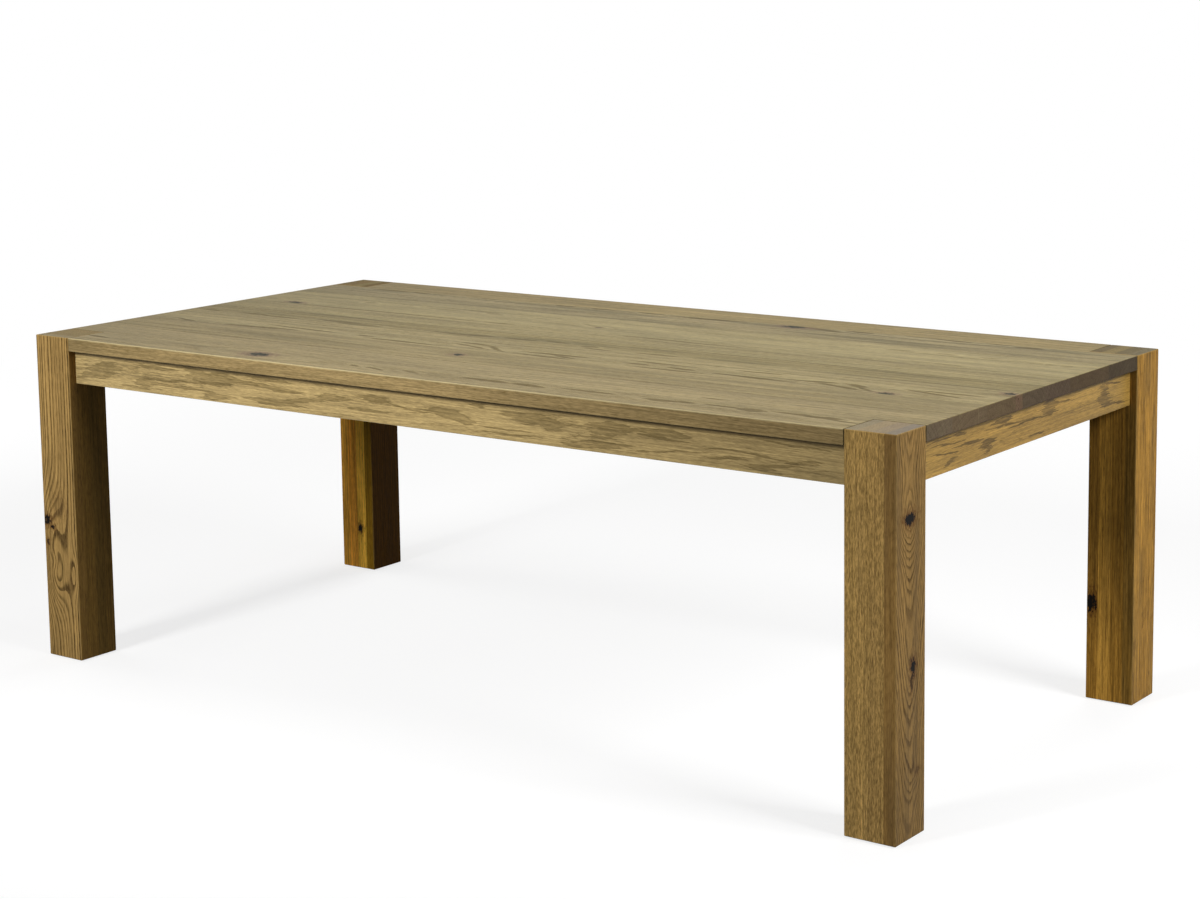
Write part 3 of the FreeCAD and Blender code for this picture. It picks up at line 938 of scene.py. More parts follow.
class OakShop:
    """The effects that all the oak shares."""

    def __init__(self) -> None:
        """Build each effect once."""
        self.figure = OakFigure()
        self.knot = OakKnot()
        self.push = RingPush()
        self.flame = OakFlame()
        self.flame_bend = FlameBend()
        self.flame_edge = FlameEdge()
        self.arris = EasedArris()
        self.notches = NotchLine()


@dataclass
class OakFinish:
    """The oak of one stick, drawn with the shared effects.

    The glued nodes are those of the block that it is part of, whose outer edges are eased as one. Widths
    and reaches are in millimetres, and a share is how far a mark covers the wood. The roughness is that of
    plain wood, and what pores and ends add to it. The relief is that of rings, pores and knots.
    """

    shop: OakShop
    node: str
    grain: GrainFrame
    cut: OakCut
    tone: OakTone
    glued: list[str]
    material: bpy.types.Material = field(init=False)
    sheet: Sheet = field(init=False)
    surface: bpy.types.Node = field(init=False)
    point: Socket = field(init=False)
    normal: Socket = field(init=False)
    place: Socket = field(init=False)

    inner_stave = "leg_back_right_stave_4"
    face_ease = (0.6, 0.9)
    no_flame = -100.0
    arris_width = 3.4
    past_edge = 50.0
    shade_reach = (3.0, 15.0)
    halo_share = 0.7
    notch_share = 0.75
    pore_share = 0.5
    ray_share = 0.25
    end_ring_share = 0.7
    end_ring_level = 0.7
    calm_side = 0.85
    roughness = (0.46, 0.2, 0.12)
    relief = (-0.4, -0.6, -1.2)
    relief_strength = 0.35
    relief_depth = 0.0004

    def __post_init__(self) -> None:
        """Start the material, and find the place along, across and through the stick."""
        self.material, self.sheet, self.surface = start_finish(f"oak_{self.node}")
        self.point, self.normal = self.sheet.millimetres()
        self.place = self.sheet.join(*self.grain.order(self.sheet.split(self.point)))

    def dress(self) -> None:
        """Draw the stick's oak and give it to its node."""
        sheet = self.sheet
        surface = self.surface
        end, side = self.faces()
        core, halo, bend = self.knots()
        figure = self.growth(bend)
        colour = sheet.mix(end, self.face_colour(figure, side), self.end_colour(figure))
        colour = sheet.mix(sheet.times(halo, self.halo_share), colour, self.tone.halo)
        colour = sheet.mix(core, colour, self.tone.knot)
        sheet.feed(surface.inputs["Base Color"], self.edge_colour(colour))
        plain, rough_pores, rough_ends = self.roughness
        rough = sheet.math("MULTIPLY_ADD", figure["Pores"], rough_pores, plain)
        sheet.feed(surface.inputs["Roughness"], sheet.math("MULTIPLY_ADD", end, rough_ends, rough))
        surface.inputs["Specular IOR Level"].default_value = self.tone.gloss
        deep_rings, deep_pores, deep_knots = self.relief
        height = sheet.times(figure["Pores"], deep_pores)
        height = sheet.math("MULTIPLY_ADD", figure["Rings"], deep_rings, height)
        height = sheet.math("MULTIPLY_ADD", core, deep_knots, height)
        add_relief(sheet, surface, height, self.relief_strength, self.relief_depth)
        put_on(self.node, self.material)

    def faces(self) -> tuple[Socket, Socket]:
        """Tell the stick's ends and tinted sides from its broad faces.

        Returns:
            One on the ends, and one on the tinted sides.
        """
        sheet = self.sheet
        along, across, _ = self.grain.order(sheet.split(self.normal))
        if self.grain.tinted is TintedSide.LOW:
            across = sheet.times(across, -1.0)
        elif self.grain.tinted is TintedSide.BOTH:
            across = sheet.math("ABSOLUTE", across)
        along = sheet.math("ABSOLUTE", along)
        return sheet.smooth(along, *self.face_ease), sheet.smooth(across, *self.face_ease)

    def knots(self) -> tuple[object, object, object]:
        """Place the stick's knots and swirls.

        Returns:
            The dark cores, the halos and the push on the rings.
        """
        sheet = self.sheet
        core: object = 0.0
        halo: object = 0.0
        bend: object = 0.0
        along, across, through = sheet.split(self.place)
        turned = sheet.join(along, through, across)
        for knot in self.cut.knots:
            made = self.shop.knot.place(sheet, {
                "Place": turned if knot.on_side else self.place, "Along": knot.along, "Across": knot.across,
                "Radius": knot.radius, "Stretch": knot.stretch, "Swell": -knot.swell * knot.radius,
                "Spread": knot.spread, "Face": knot.face, "Reach": knot.reach, "Seed": self.cut.pattern(),
            })
            core = sheet.math("MAXIMUM", core, sheet.times(made["Core"], knot.depth))
            halo = sheet.math("MAXIMUM", halo, sheet.times(made["Halo"], knot.depth))
            bend = sheet.plus(bend, made["Bend"])
        for swirl in self.cut.swirls:
            made = self.shop.push.place(sheet, {
                "Place": self.place, "Along": swirl.along, "Across": swirl.across, "Length": swirl.length,
                "Width": swirl.width, "Push": swirl.push,
            })
            bend = sheet.plus(bend, made["Bend"])
        return core, halo, bend

    def growth(self, bend: object) -> Outputs:
        """Cut the stick's figure from its log.

        Args:
            bend: The push on the rings.

        Returns:
            The figure's outputs.
        """
        cut = self.cut
        low, high = corners_in_millimetres([self.node])
        along, across, through = self.grain.order((low + high) / 2)
        return self.shop.figure.place(self.sheet, {
            "Place": self.place, "Bend": bend, "Seed": cut.pattern(), "Middle": along,
            "Pith Across": across + cut.pith_across, "Pith Through": through + cut.pith_through,
            "Ring Width": cut.ring, "Line": cut.line, "Band": cut.band, "Fill": cut.fill, "Tilt": cut.tilt,
            "Taper": cut.taper, "Wander": cut.wander, "Ripple": cut.ripple, "Feather": cut.feather,
            "Fleck": cut.fleck, "Thread": cut.thread, "Cells": cells_in_millimetre(cut.cells),
            "Dash Cells": cells_in_millimetre(cut.dash), "Streak Cells": cells_in_millimetre(cut.streak),
        })

    def flames(self) -> Outputs:
        """Place the stick's flames.

        Returns:
            The darkness and the pale border of the flames.
        """
        sheet = self.sheet
        cut = self.cut
        depth: object = self.no_flame
        bent = self.shop.flame_bend.place(sheet, {
            "Place": self.place, "Wave": cut.wave, "Finger": cut.finger, "Seed": cut.pattern(),
        })["Place"]
        for flame in cut.flames:
            made = self.shop.flame.place(sheet, {
                "Place": bent, "Along": flame.along, "Across": flame.across, "Slant": flame.slant,
                "Half Length": flame.length / 2, "Half Width": flame.width / 2,
            })
            depth = sheet.math("MAXIMUM", depth, made["Depth"])
        return self.shop.flame_edge.place(sheet, {
            "Place": self.place, "Depth": depth, "Rim": cut.rim, "Fill": cut.flame_fill,
            "Seed": cut.pattern(),
        })

    def face_colour(self, figure: Outputs, side: Socket) -> Socket:
        """Colour the long faces of the stick.

        Args:
            figure: The figure's outputs.
            side: One on the tinted sides.

        Returns:
            The colour's socket.
        """
        sheet = self.sheet
        cut = self.cut
        dark = cut.stain(self.tone.dark)
        bold = sheet.math("MULTIPLY_ADD", side, -self.calm_side * cut.contrast, cut.contrast)
        bold = sheet.times(figure["Rings"], bold)
        face = sheet.mix(bold, cut.stain(self.tone.pale), dark)
        streaks = sheet.times(figure["Streaks"], cut.grey_share)
        face = sheet.mix(streaks, face, cut.stain(self.tone.grey))
        if cut.flames:
            flames = self.flames()
            broad = sheet.minus(1.0, side)
            if cut.border:
                share = sheet.times(broad, cut.border)
                face = sheet.mix(sheet.times(flames["Border"], share), face, self.tone.edge)
            share = sheet.times(broad, cut.flame_depth)
            face = sheet.mix(sheet.times(flames["Mask"], share), face, dark)
        face = sheet.shade(face, figure["Shade"])
        face = sheet.mix(sheet.times(figure["Pores"], self.pore_share), face, dark)
        # The side tint also holds painted light and shade, matched to how the light fell on these faces.
        return sheet.mix(side, face, (*cut.side, 1.0), "MULTIPLY")

    def end_colour(self, figure: Outputs) -> Socket:
        """Colour the ends of the stick, with darker rings and pale rays.

        Args:
            figure: The figure's outputs.

        Returns:
            The colour's socket.
        """
        sheet = self.sheet
        cut = self.cut
        deep = cut.stain(self.tone.end, tuple(self.end_ring_level * part for part in cut.end))
        rings = sheet.times(figure["Rings"], self.end_ring_share)
        ends = sheet.mix(rings, cut.stain(self.tone.end, cut.end), deep)
        rays = sheet.times(figure["Rays"], self.ray_share)
        ends = sheet.mix(rays, ends, cut.stain(self.tone.grey, cut.end))
        return sheet.shade(ends, sheet.math("MULTIPLY_ADD", figure["Shade"], 0.5, 0.5))

    def edge_colour(self, colour: Socket) -> Socket:
        """Colour the edges: pale eased arrises, partly worn finish and partly a painted highlight, the dark
        line round each leg in the top, and a painted shadow under the top's overhang.

        Args:
            colour: The colour so far.

        Returns:
            The colour's socket.
        """
        sheet = self.sheet
        cut = self.cut
        tone = self.tone
        low, high = corners_in_millimetres(self.glued)
        low.z -= self.past_edge
        if self.grain is ALONG_TABLE:
            low.x -= self.past_edge
            high.x += self.past_edge
        # Pale arrises: partly finish worn thin, partly a painted highlight.
        if tone.wear_and_highlight:
            eased = self.shop.arris.place(sheet, {
                "Place": self.point, "Low": low, "High": high, "Width": self.arris_width,
                "Seed": cut.pattern(),
            })
            colour = sheet.mix(sheet.times(eased["Mask"], tone.wear_and_highlight), colour, tone.edge)
        if self.grain is ALONG_TABLE:
            leg = corners_in_millimetres([self.inner_stave])[0]
            line = self.shop.notches.place(sheet, {
                "Place": self.point, "Half Length": leg.x, "Half Width": leg.y,
            })
            colour = sheet.mix(sheet.times(line["Mask"], self.notch_share), colour, tone.knot)
        # Painted shadow: the aprons are darkened along their upper edge, where the top overhangs them.
        if cut.shade:
            below = sheet.minus(high.z, sheet.split(self.point)[2])
            painted_shadow = sheet.smooth(below, *self.shade_reach, cut.shade, 0.0)
            colour = sheet.mix(painted_shadow, colour, tone.halo)
        return colour


# The top's colours are made paler and greyer than plain oak to hold a painted sheen, and its gloss is kept
# low to match.
TOP_OAK = OakTone(
    pale=paint(156, 142, 105), dark=paint(92, 76, 32), grey=paint(115, 106, 75), end=paint(90, 75, 58),
    edge=paint(190, 175, 134), knot=paint(30, 32, 18), halo=paint(114, 88, 72), gloss=0.03, wear_and_highlight=0.6,
)
LEG_OAK = OakTone(
    pale=paint(148, 117, 60), dark=paint(70, 49, 18), grey=paint(100, 82, 50), end=paint(124, 108, 72),
    edge=paint(166, 138, 86), knot=paint(15, 12, 10), halo=paint(82, 48, 22), gloss=0.04, wear_and_highlight=0.3,
)
STRIPED_OAK = replace(LEG_OAK, pale=paint(182, 148, 90), dark=paint(58, 38, 14))
GOLDEN_OAK = replace(LEG_OAK, pale=paint(156, 114, 50), dark=paint(76, 50, 14))
# The aprons have no knots, so their halo colour is only that of the painted shadow under the top.
APRON_OAK = OakTone(
    pale=paint(180, 153, 100), dark=paint(98, 80, 44), grey=paint(116, 100, 66), end=paint(92, 74, 48),
    edge=paint(190, 166, 116), halo=paint(50, 36, 16), gloss=0.2, wear_and_highlight=0.0,
)
RAW_OAK = OakTone(
    pale=paint(172, 144, 100), dark=paint(120, 94, 58), grey=paint(142, 122, 90), end=paint(128, 104, 72),
    edge=paint(180, 154, 112),
)
BEECH = OakTone(
    pale=paint(190, 150, 106), dark=paint(146, 106, 70), grey=paint(168, 132, 94), end=paint(150, 112, 76),
    edge=paint(196, 158, 116),
)


def flame_rows(*rows: tuple[float, ...]) -> tuple[Flame, ...]:
    """Flames from rows that give their middle, length, width and slope."""
    return tuple(Flame(*row) for row in rows)


FRONT_BOARD_FLAMES = flame_rows(
    (-960, -495, 100, 14, -0.1), (-190, -495, 40, 12, -0.4), (-130, -500, 60, 12, -0.3),
    (-50, -492, 60, 11, -0.2), (150, -490, 140, 18, -0.05), (255, -492, 100, 18, -0.1),
    (390, -486, 170, 12), (565, -490, 80, 22), (610, -484, 60, 19), (700, -481, 100, 11),
    (762, -485, 70, 27), (850, -479, 120, 14), (915, -481, 90, 18, 0.1), (950, -491, 90, 11, -0.15),
    (645, -425, 70, 11),
)
LOOP_BOARD_FLAMES = flame_rows(
    (-970, -208, 110, 12, -0.25), (-650, -171, 280, 12, -0.05), (-760, -207, 220, 12, 0.06),
    (-680, -195, 140, 12, -0.05), (-440, -178, 70, 12), (-320, -198, 260, 11),
    (-150, -143, 140, 12, -0.08), (-82, -172, 80, 15, -0.6), (-150, -171, 130, 12, -0.25),
    (70, -167, 190, 14, 0.03), (60, -200, 180, 12, -0.05), (110, -184, 70, 14, -0.2),
    (330, -146, 220, 11, -0.03), (290, -174, 80, 14), (400, -178, 80, 14, -0.1), (380, -203, 230, 12),
    (580, -191, 230, 14, -0.04), (560, -132, 140, 11), (700, -165, 130, 12, 0.15),
    (775, -188, 130, 14, -0.25), (795, -164, 60, 24, -0.3), (830, -190, 70, 12, -0.5),
    (960, -164, 150, 14, -0.22), (990, -145, 170, 11), (845, -225, 80, 23),
)
MIDDLE_BOARD_FLAMES = flame_rows(
    (-1035, -62, 90, 16), (-900, -57, 110, 16), (-810, -62, 130, 16), (-640, -47, 150, 20),
    (-570, -58, 150, 22), (-300, -50, 190, 14), (-225, -43, 80, 18), (-120, -40, 100, 14),
    (-20, -30, 70, 16), (72, -45, 50, 22), (110, -65, 80, 11), (255, -60, 140, 14), (860, -62, 520, 8),
)
SEAM_FLAMES = flame_rows(
    (-700, 126, 820, 12), (-310, 124, 90, 14), (200, 113, 420, 12), (700, 111, 420, 8),
)
SIXTH_BOARD_FLAMES = flame_rows(
    (-790, 230, 50, 18), (-565, 230, 140, 15), (-410, 232, 60, 16), (-270, 228, 60, 12),
    (660, 255, 80, 11), (760, 258, 60, 12), (865, 258, 60, 14), (1000, 247, 24, 22),
    (1040, 245, 30, 24), (-95, 200, 90, 19, -0.4),
)
SEVENTH_BOARD_FLAMES = flame_rows(
    (-890, 424, 170, 15), (-800, 424, 70, 15), (-590, 433, 140, 15), (-350, 428, 70, 19),
    (-300, 435, 200, 14), (-240, 427, 70, 19), (-100, 428, 80, 18), (55, 417, 190, 15),
    (110, 426, 110, 11), (375, 415, 120, 22, -0.2), (450, 428, 110, 16, -0.15), (605, 432, 90, 14),
    (690, 424, 150, 12, -0.08), (800, 430, 80, 14), (870, 417, 80, 18),
)


def board(seed: float, across: float, through: float, **figure: object) -> OakCut:
    """A board of the top, whose flames are broad and soft."""
    return OakCut(seed, across, through, rim=7.0, wave=14.0, finger=60.0, border=0.1, **figure)


@dataclass
class TableTop:
    """The glued top, its boards numbered from the front."""

    cuts: tuple[OakCut, ...] = (
        board(1.3, -42, -60, ring=14, tilt=0.006, ripple=12, cells=(150, 22), contrast=0.35, grey_share=0.2,
              tint=(0.826, 0.795, 0.738), side=(0.985, 0.9, 0.82), end=(1.56, 1.74, 1.97),
              knots=(Knot(-468, -491, 17, 1.7),), flames=FRONT_BOARD_FLAMES, flame_depth=0.8),
        board(2.7, 60, -200, ring=13, ripple=10, contrast=0.4, grey_share=0.4,
              tint=(0.77, 0.74, 0.66), end=(1.7, 1.82, 1.98), knots=(Knot(-102, -274, 10, 1.2),)),
        board(3.1, -32, -60, ring=16, tilt=-0.006, ripple=14, cells=(150, 26), contrast=0.3,
              tint=(0.845, 0.83, 0.75), end=(1.36, 1.4, 1.47),
              knots=(Knot(884, -212, 12, 1.4), Knot(1083, -90, 10)),
              flames=LOOP_BOARD_FLAMES, flame_depth=0.8),
        board(4.9, -30, -60, ring=15, tilt=0.004, ripple=12, contrast=0.35, grey_share=0.7,
              tint=(0.69, 0.67, 0.555), end=(1.37, 1.48, 1.9),
              flames=MIDDLE_BOARD_FLAMES, flame_depth=0.55),
        board(5.2, 150, -120, ring=13, wander=6, ripple=8, contrast=0.35, grey_share=0.3,
              tint=(0.82, 0.81, 0.72), end=(1.08, 1.11, 1.38), flames=SEAM_FLAMES, flame_depth=0.45),
        board(6.6, -30, -260, ring=13, ripple=10, contrast=0.35, tint=(0.87, 0.87, 0.795),
              end=(0.98, 0.98, 1.04), knots=(Knot(-74, 186, 6, 1.2, depth=0.5), Knot(-955, 137, 12, 1.8)),
              flames=SIXTH_BOARD_FLAMES, flame_depth=0.35),
        board(7.4, 52, -60, ring=15, tilt=0.004, ripple=12, contrast=0.35, grey_share=0.8,
              tint=(0.8, 0.79, 0.75), end=(0.88, 0.95, 1.05), knots=(Knot(296, 422, 15, 2.0),),
              flames=SEVENTH_BOARD_FLAMES, flame_depth=0.8),
        board(8.8, -100, -160, ring=13, ripple=8, contrast=0.35, grey_share=0.3,
              tint=(0.8, 0.745, 0.61), side=(1.19, 1.1, 1.03), end=(0.84, 0.95, 1.17)),
    )

    def dress(self, shop: OakShop) -> None:
        """Give each board its own oak.

        Args:
            shop: The effects that the oak shares.
        """
        names = [f"top_board_{number}" for number in range(1, len(self.cuts) + 1)]
        for name, cut in zip(names, self.cuts):
            OakFinish(shop, name, ALONG_TABLE, cut, TOP_OAK, names).dress()


@dataclass
class Leg:
    """One leg, its staves numbered from the outer face."""

    corner: str
    grain: GrainFrame
    tone: OakTone
    cuts: tuple[OakCut, ...]

    def dress(self, shop: OakShop) -> None:
        """Give each stave its own oak.

        Args:
            shop: The effects that the oak shares.
        """
        names = [f"leg_{self.corner}_stave_{number}" for number in range(1, len(self.cuts) + 1)]
        for name, cut in zip(names, self.cuts):
            OakFinish(shop, name, self.grain, cut, self.tone, names).dress()


def dashed_stave(seed: float, across: float, through: float, tint: Tint, end: Tint) -> OakCut:
    """A stave of the near leg, whose pores show as short dashes."""
    return OakCut(seed, across, through, fleck=0.95, dash=(10, 1.6), contrast=0.6, tint=tint,
                  side=(1.43, 1.43, 1.43), end=end)


LEFT_LEG_SWIRLS = (
    Swirl(300, -1085, 100, 46, 50), Swirl(190, -1068, 75, 34, 46), Swirl(198, -1005, 42, 12, -16),
    Swirl(222, -1073, 22, 12, -14),
)
# Each stave's tint, side and end are matched to how the light fell on its faces, so besides the oak's own
# tone they hold painted light and shade.
LEGS = (
    Leg("front_left", FACE_TO_FRONT, STRIPED_OAK, (
        OakCut(11.1, -300, 40, ring=9, line=0.6, fill=0.2, ripple=3, feather=0.2, fleck=0.35, contrast=0.92,
               tint=(0.74, 0.73, 0.71), side=(0.85, 0.78, 0.62), end=(1.8, 1.94, 2.5),
               knots=(Knot(316, -1091, 13, 0.9, 0.0), Knot(302, -1070, 6, 0.8, 0.0),
                      Knot(266, -1090, 5, 1.4, 0.0, depth=0.7), Knot(352, -1048, 17, 1.5, 0.0, depth=0.25)),
               swirls=LEFT_LEG_SWIRLS),
        OakCut(12.1, 80, 60, tint=(0.8, 0.76, 0.66), side=(0.7, 0.67, 0.55), end=(1.43, 1.5, 1.8)),
        OakCut(13.1, -80, 60, tint=(0.74, 0.71, 0.62), side=(0.62, 0.61, 0.52), end=(1.56, 1.62, 1.86)),
        OakCut(14.1, 60, 60, tint=(0.77, 0.73, 0.64), side=(0.65, 0.63, 0.52), end=(1.52, 1.56, 1.8)),
    )),
    Leg("front_right", FACE_TO_END, LEG_OAK, (
        OakCut(21.1, -6, -13, ring=6, line=0.5, fill=0.2, taper=-0.17, wander=14, ripple=8, cells=(150, 24),
               feather=0.4, contrast=0.92, grey_share=0.4, tint=(0.97, 0.97, 1.24), side=(1.14, 1.1, 1.03),
               end=(1.12, 1.26, 1.7),
               knots=(Knot(583, -503, 17, 0.6, 1.4, 3.0), Knot(315, -489, 8, 1.7, 1.0, 3.2),
                      Knot(288, -494, 4, 4.0, 0.0, depth=0.7),
                      Knot(123, -473, 7, 1.0, 1.8, 3.2, depth=0.4))),
        dashed_stave(22.1, -120, 90, tint=(1.03, 1.06, 1.35), end=(1.26, 1.28, 1.47)),
        dashed_stave(23.1, 160, 70, tint=(1.09, 1.13, 1.42), end=(1.24, 1.24, 1.31)),
        dashed_stave(24.1, -140, 80, tint=(1.01, 1.05, 1.3), end=(1.2, 1.28, 1.47)),
    )),
    Leg("back_left", FACE_TO_END, GOLDEN_OAK, (
        OakCut(31.1, 10, -60, tilt=0.03, grey_share=0.2, thread=0.5, tint=(1.2, 1.16, 1.0),
               side=(1.63, 1.63, 1.4), end=(0.71, 0.71, 0.7)),
        OakCut(32.1, -120, 80, ring=7, line=0.5, contrast=1.0, thread=0.5, tint=(1.44, 1.31, 1.12),
               side=(1.5, 1.44, 1.13), end=(0.63, 0.63, 0.63)),
        OakCut(33.1, 130, 60, ring=7, thread=0.5, tint=(1.6, 1.63, 1.44),
               side=(1.56, 1.69, 1.31), end=(0.63, 0.63, 0.63),
               knots=(Knot(107, -1039, 8, 1.2, on_side=True, face=445, reach=30),)),
        OakCut(34.1, -110, 60, thread=0.4, tint=(0.36, 0.3, 0.12), side=(2.2, 2.8, 3.0),
               end=(1.94, 2.1, 4.0)),
    )),
    Leg("back_right", FACE_TO_END, GOLDEN_OAK, (
        OakCut(41.1, -20, -120, ring=10, line=0.5, tilt=0.03, wander=14, ripple=40, cells=(110, 46),
               fleck=0.5, dash=(24, 2.2), streak=(240, 26), contrast=0.32, grey_share=0.3, thread=0.6,
               tint=(1.2, 1.24, 1.2), side=(0.56, 0.57, 0.56), end=(0.65, 0.69, 0.92)),
        OakCut(42.1, 120, 70, ring=8, line=0.5, contrast=0.9, thread=0.5, tint=(1.28, 1.23, 1.02),
               side=(0.67, 0.7, 0.73), end=(0.53, 0.58, 0.8)),
        OakCut(43.1, -130, 70, ring=8, line=0.5, contrast=1.0, thread=0.6, tint=(1.5, 1.47, 1.2),
               side=(0.89, 0.94, 1.05), end=(0.68, 0.71, 0.87)),
        OakCut(44.1, 110, 60, ring=8, line=0.5, contrast=1.0, thread=0.5, tint=(1.28, 1.2, 0.99),
               side=(0.72, 0.76, 0.79), end=(0.55, 0.59, 0.81),
               knots=(Knot(210, 1004, 13, 1.4, on_side=True, face=445, reach=30),)),
    )),
)


LONG_APRON_FLAMES = flame_rows(
    (-905, 674, 110, 40, 0.12), (-955, 660, 70, 20, 0.2), (-740, 693, 150, 8), (-772, 659, 66, 24),
    (-700, 668, 190, 5, 0.02), (-690, 657, 170, 6, -0.02), (-805, 645, 120, 6), (-565, 684, 170, 28),
    (-620, 697, 120, 10, -0.05), (-560, 646, 130, 13, 0.08), (-590, 655, 190, 5, -0.09),
    (-395, 697, 150, 6, -0.02), (-400, 681, 210, 9, -0.05), (-225, 676, 90, 15, 0.05),
    (-390, 650, 190, 13, -0.02), (-300, 662, 150, 13, 0.14), (-115, 685, 100, 16, -0.05),
    (-30, 676, 140, 5, -0.09), (-130, 660, 130, 8, 0.04), (85, 672, 130, 22, -0.08), (130, 664, 60, 18),
    (160, 696, 40, 7), (245, 686, 70, 12), (300, 682, 130, 26), (340, 676, 70, 26), (480, 684, 120, 26),
    (450, 678, 60, 16), (390, 660, 60, 5, 0.5), (450, 666, 110, 5, 0.08), (440, 650, 190, 17, 0.06),
    (230, 657, 170, 5), (240, 647, 150, 5), (595, 688, 160, 14), (600, 678, 110, 6, -0.05),
    (610, 655, 190, 5, 0.12), (745, 671, 140, 4), (840, 667, 110, 4, -0.12), (810, 647, 80, 14),
    (850, 653, 110, 5, 0.06), (735, 656, 80, 8, 0.1), (905, 665, 60, 11, 0.2),
    (890, 694, 150, 5, -0.07),
)
SHORT_APRON_FLAMES = flame_rows(
    (-360, 698, 100, 5), (-290, 697, 60, 8, -0.1), (-330, 686, 160, 4, -0.05),
    (-255, 674, 130, 5, -0.05), (-350, 670, 120, 4, -0.08), (-330, 653, 50, 9, 0.3),
    (-180, 662, 70, 14, 0.1), (-175, 650, 60, 6, 0.2), (-120, 694, 90, 11), (-100, 684, 190, 4, -0.05),
    (0, 677, 230, 4), (75, 690, 66, 34, 0.1), (130, 692, 90, 5, -0.06), (322, 684, 40, 36, -0.5),
    (325, 666, 70, 26, -0.2), (365, 694, 70, 9, -0.1), (340, 652, 70, 8), (400, 650, 90, 4, -0.03),
    (20, 646, 60, 5),
)


@dataclass
class ApronFrame:
    """The four aprons between the legs, cut flat from the log.

    The far ones have the figure of the near ones, turned end for end.
    """

    flat_sawn: OakCut = OakCut(0.0, 0.0, 0.0, ring=10.0, line=0.2, fill=0.3, tilt=0.004, ripple=30.0,
                               cells=(260.0, 26.0), contrast=0.5)
    long_tint: Tint = (0.86, 0.9, 0.97)
    short_tint: Tint = (0.8, 0.69, 0.4)
    long_shade: float = 0.8
    short_shade: float = 0.35
    short_flame_depth: float = 0.97

    def dress(self, shop: OakShop) -> None:
        """Give each apron its own oak.

        Args:
            shop: The effects that the oak shares.
        """
        front = replace(self.flat_sawn, seed=51.1, pith_across=6.0, pith_through=75.0, tint=self.long_tint,
                        shade=self.long_shade, flames=LONG_APRON_FLAMES)
        back = replace(front, seed=52.3, pith_across=-6.0, pith_through=-75.0,
                       flames=tuple(flame.turned() for flame in front.flames))
        right = replace(self.flat_sawn, seed=54.9, pith_across=-10.0, pith_through=-75.0,
                        tint=self.short_tint, shade=self.short_shade, flames=SHORT_APRON_FLAMES,
                        flame_depth=self.short_flame_depth)
        left = replace(right, seed=53.7, pith_across=8.0, pith_through=75.0,
                       flames=tuple(flame.turned() for flame in right.flames))
        for place, grain, cut in (("front", LONG_APRON, front), ("back", LONG_APRON, back),
                                  ("left", SHORT_APRON, left), ("right", SHORT_APRON, right)):
            name = f"apron_{place}"
            OakFinish(shop, name, grain, cut, APRON_OAK, [name]).dress()


@dataclass
class Underframe:
    """The cross bearers and the buttons that hold the top, left without oil."""

    bearers: tuple[str, ...] = ("left", "middle", "right")
    long_sides: tuple[str, ...] = ("front", "back")
    ends: tuple[str, ...] = ("left", "right")
    bearer_cut: OakCut = OakCut(61.3, 40, 60, grey_share=0.2)
    button_cut: OakCut = OakCut(71.7, 30, 90, ring=2.4, contrast=0.35, grey_share=0.2)

    def dress(self, shop: OakShop) -> None:
        """Give the bearers plain oak and the buttons beech.

        Args:
            shop: The effects that the oak shares.
        """
        for number, place in enumerate(self.bearers):
            cut = replace(self.bearer_cut, seed=self.bearer_cut.seed + number)
            name = f"bearer_{place}"
            OakFinish(shop, name, ACROSS_TABLE, cut, RAW_OAK, [name]).dress()
        sides = [(side, ACROSS_TABLE) for side in self.long_sides]
        sides += [(side, ALONG_TABLE) for side in self.ends]
        for number, (side, grain) in enumerate(sides):
            cut = replace(self.button_cut, seed=self.button_cut.seed + number)
            name = f"buttons_{side}"
            OakFinish(shop, name, grain, cut, BEECH, [name]).dress()


@dataclass
class Fittings:
    """The corner brackets and their bolts, the screws and the glides."""

    corners: tuple[str, ...] = ("front_left", "front_right", "back_left", "back_right")
    hardware: tuple[str, ...] = (
        "bracket_screws", "hanger_bolts", "bolt_washers", "bolt_nuts", "button_screws", "bearer_screws",
    )
    pattern: tuple[float, float, float] = (3.0, 5.0, 7.0)
    relief_strength: float = 0.2
    zinc_relief: float = 0.00005
    nylon_relief: float = 0.0001

    def finish(self, name: str, effect: Effect, metal: float, depth: float) -> bpy.types.Material:
        """Make the material of a fitting.

        Args:
            name: The material's name.
            effect: What its surface looks like.
            metal: One for bare metal, zero for plastic.
            depth: The relief's depth in metres.

        Returns:
            The material.
        """
        material, sheet, surface = start_finish(name)
        point, _ = sheet.millimetres()
        look = effect.place(sheet, {"Place": point, "Seed": self.pattern})
        sheet.feed(surface.inputs["Base Color"], look["Colour"])
        sheet.feed(surface.inputs["Roughness"], look["Roughness"])
        surface.inputs["Metallic"].default_value = metal
        add_relief(sheet, surface, look["Height"], self.relief_strength, depth)
        return material

    def dress(self) -> None:
        """Plate the steel and mould the glides."""
        zinc = self.finish("zinc_plate", PlatedSteel(), 1.0, self.zinc_relief)
        nylon = self.finish("moulded_nylon", MouldedNylon(), 0.0, self.nylon_relief)
        for node in [f"corner_bracket_{corner}" for corner in self.corners] + list(self.hardware):
            put_on(node, zinc)
        for corner in self.corners:
            put_on(f"leg_{corner}_glide", nylon)


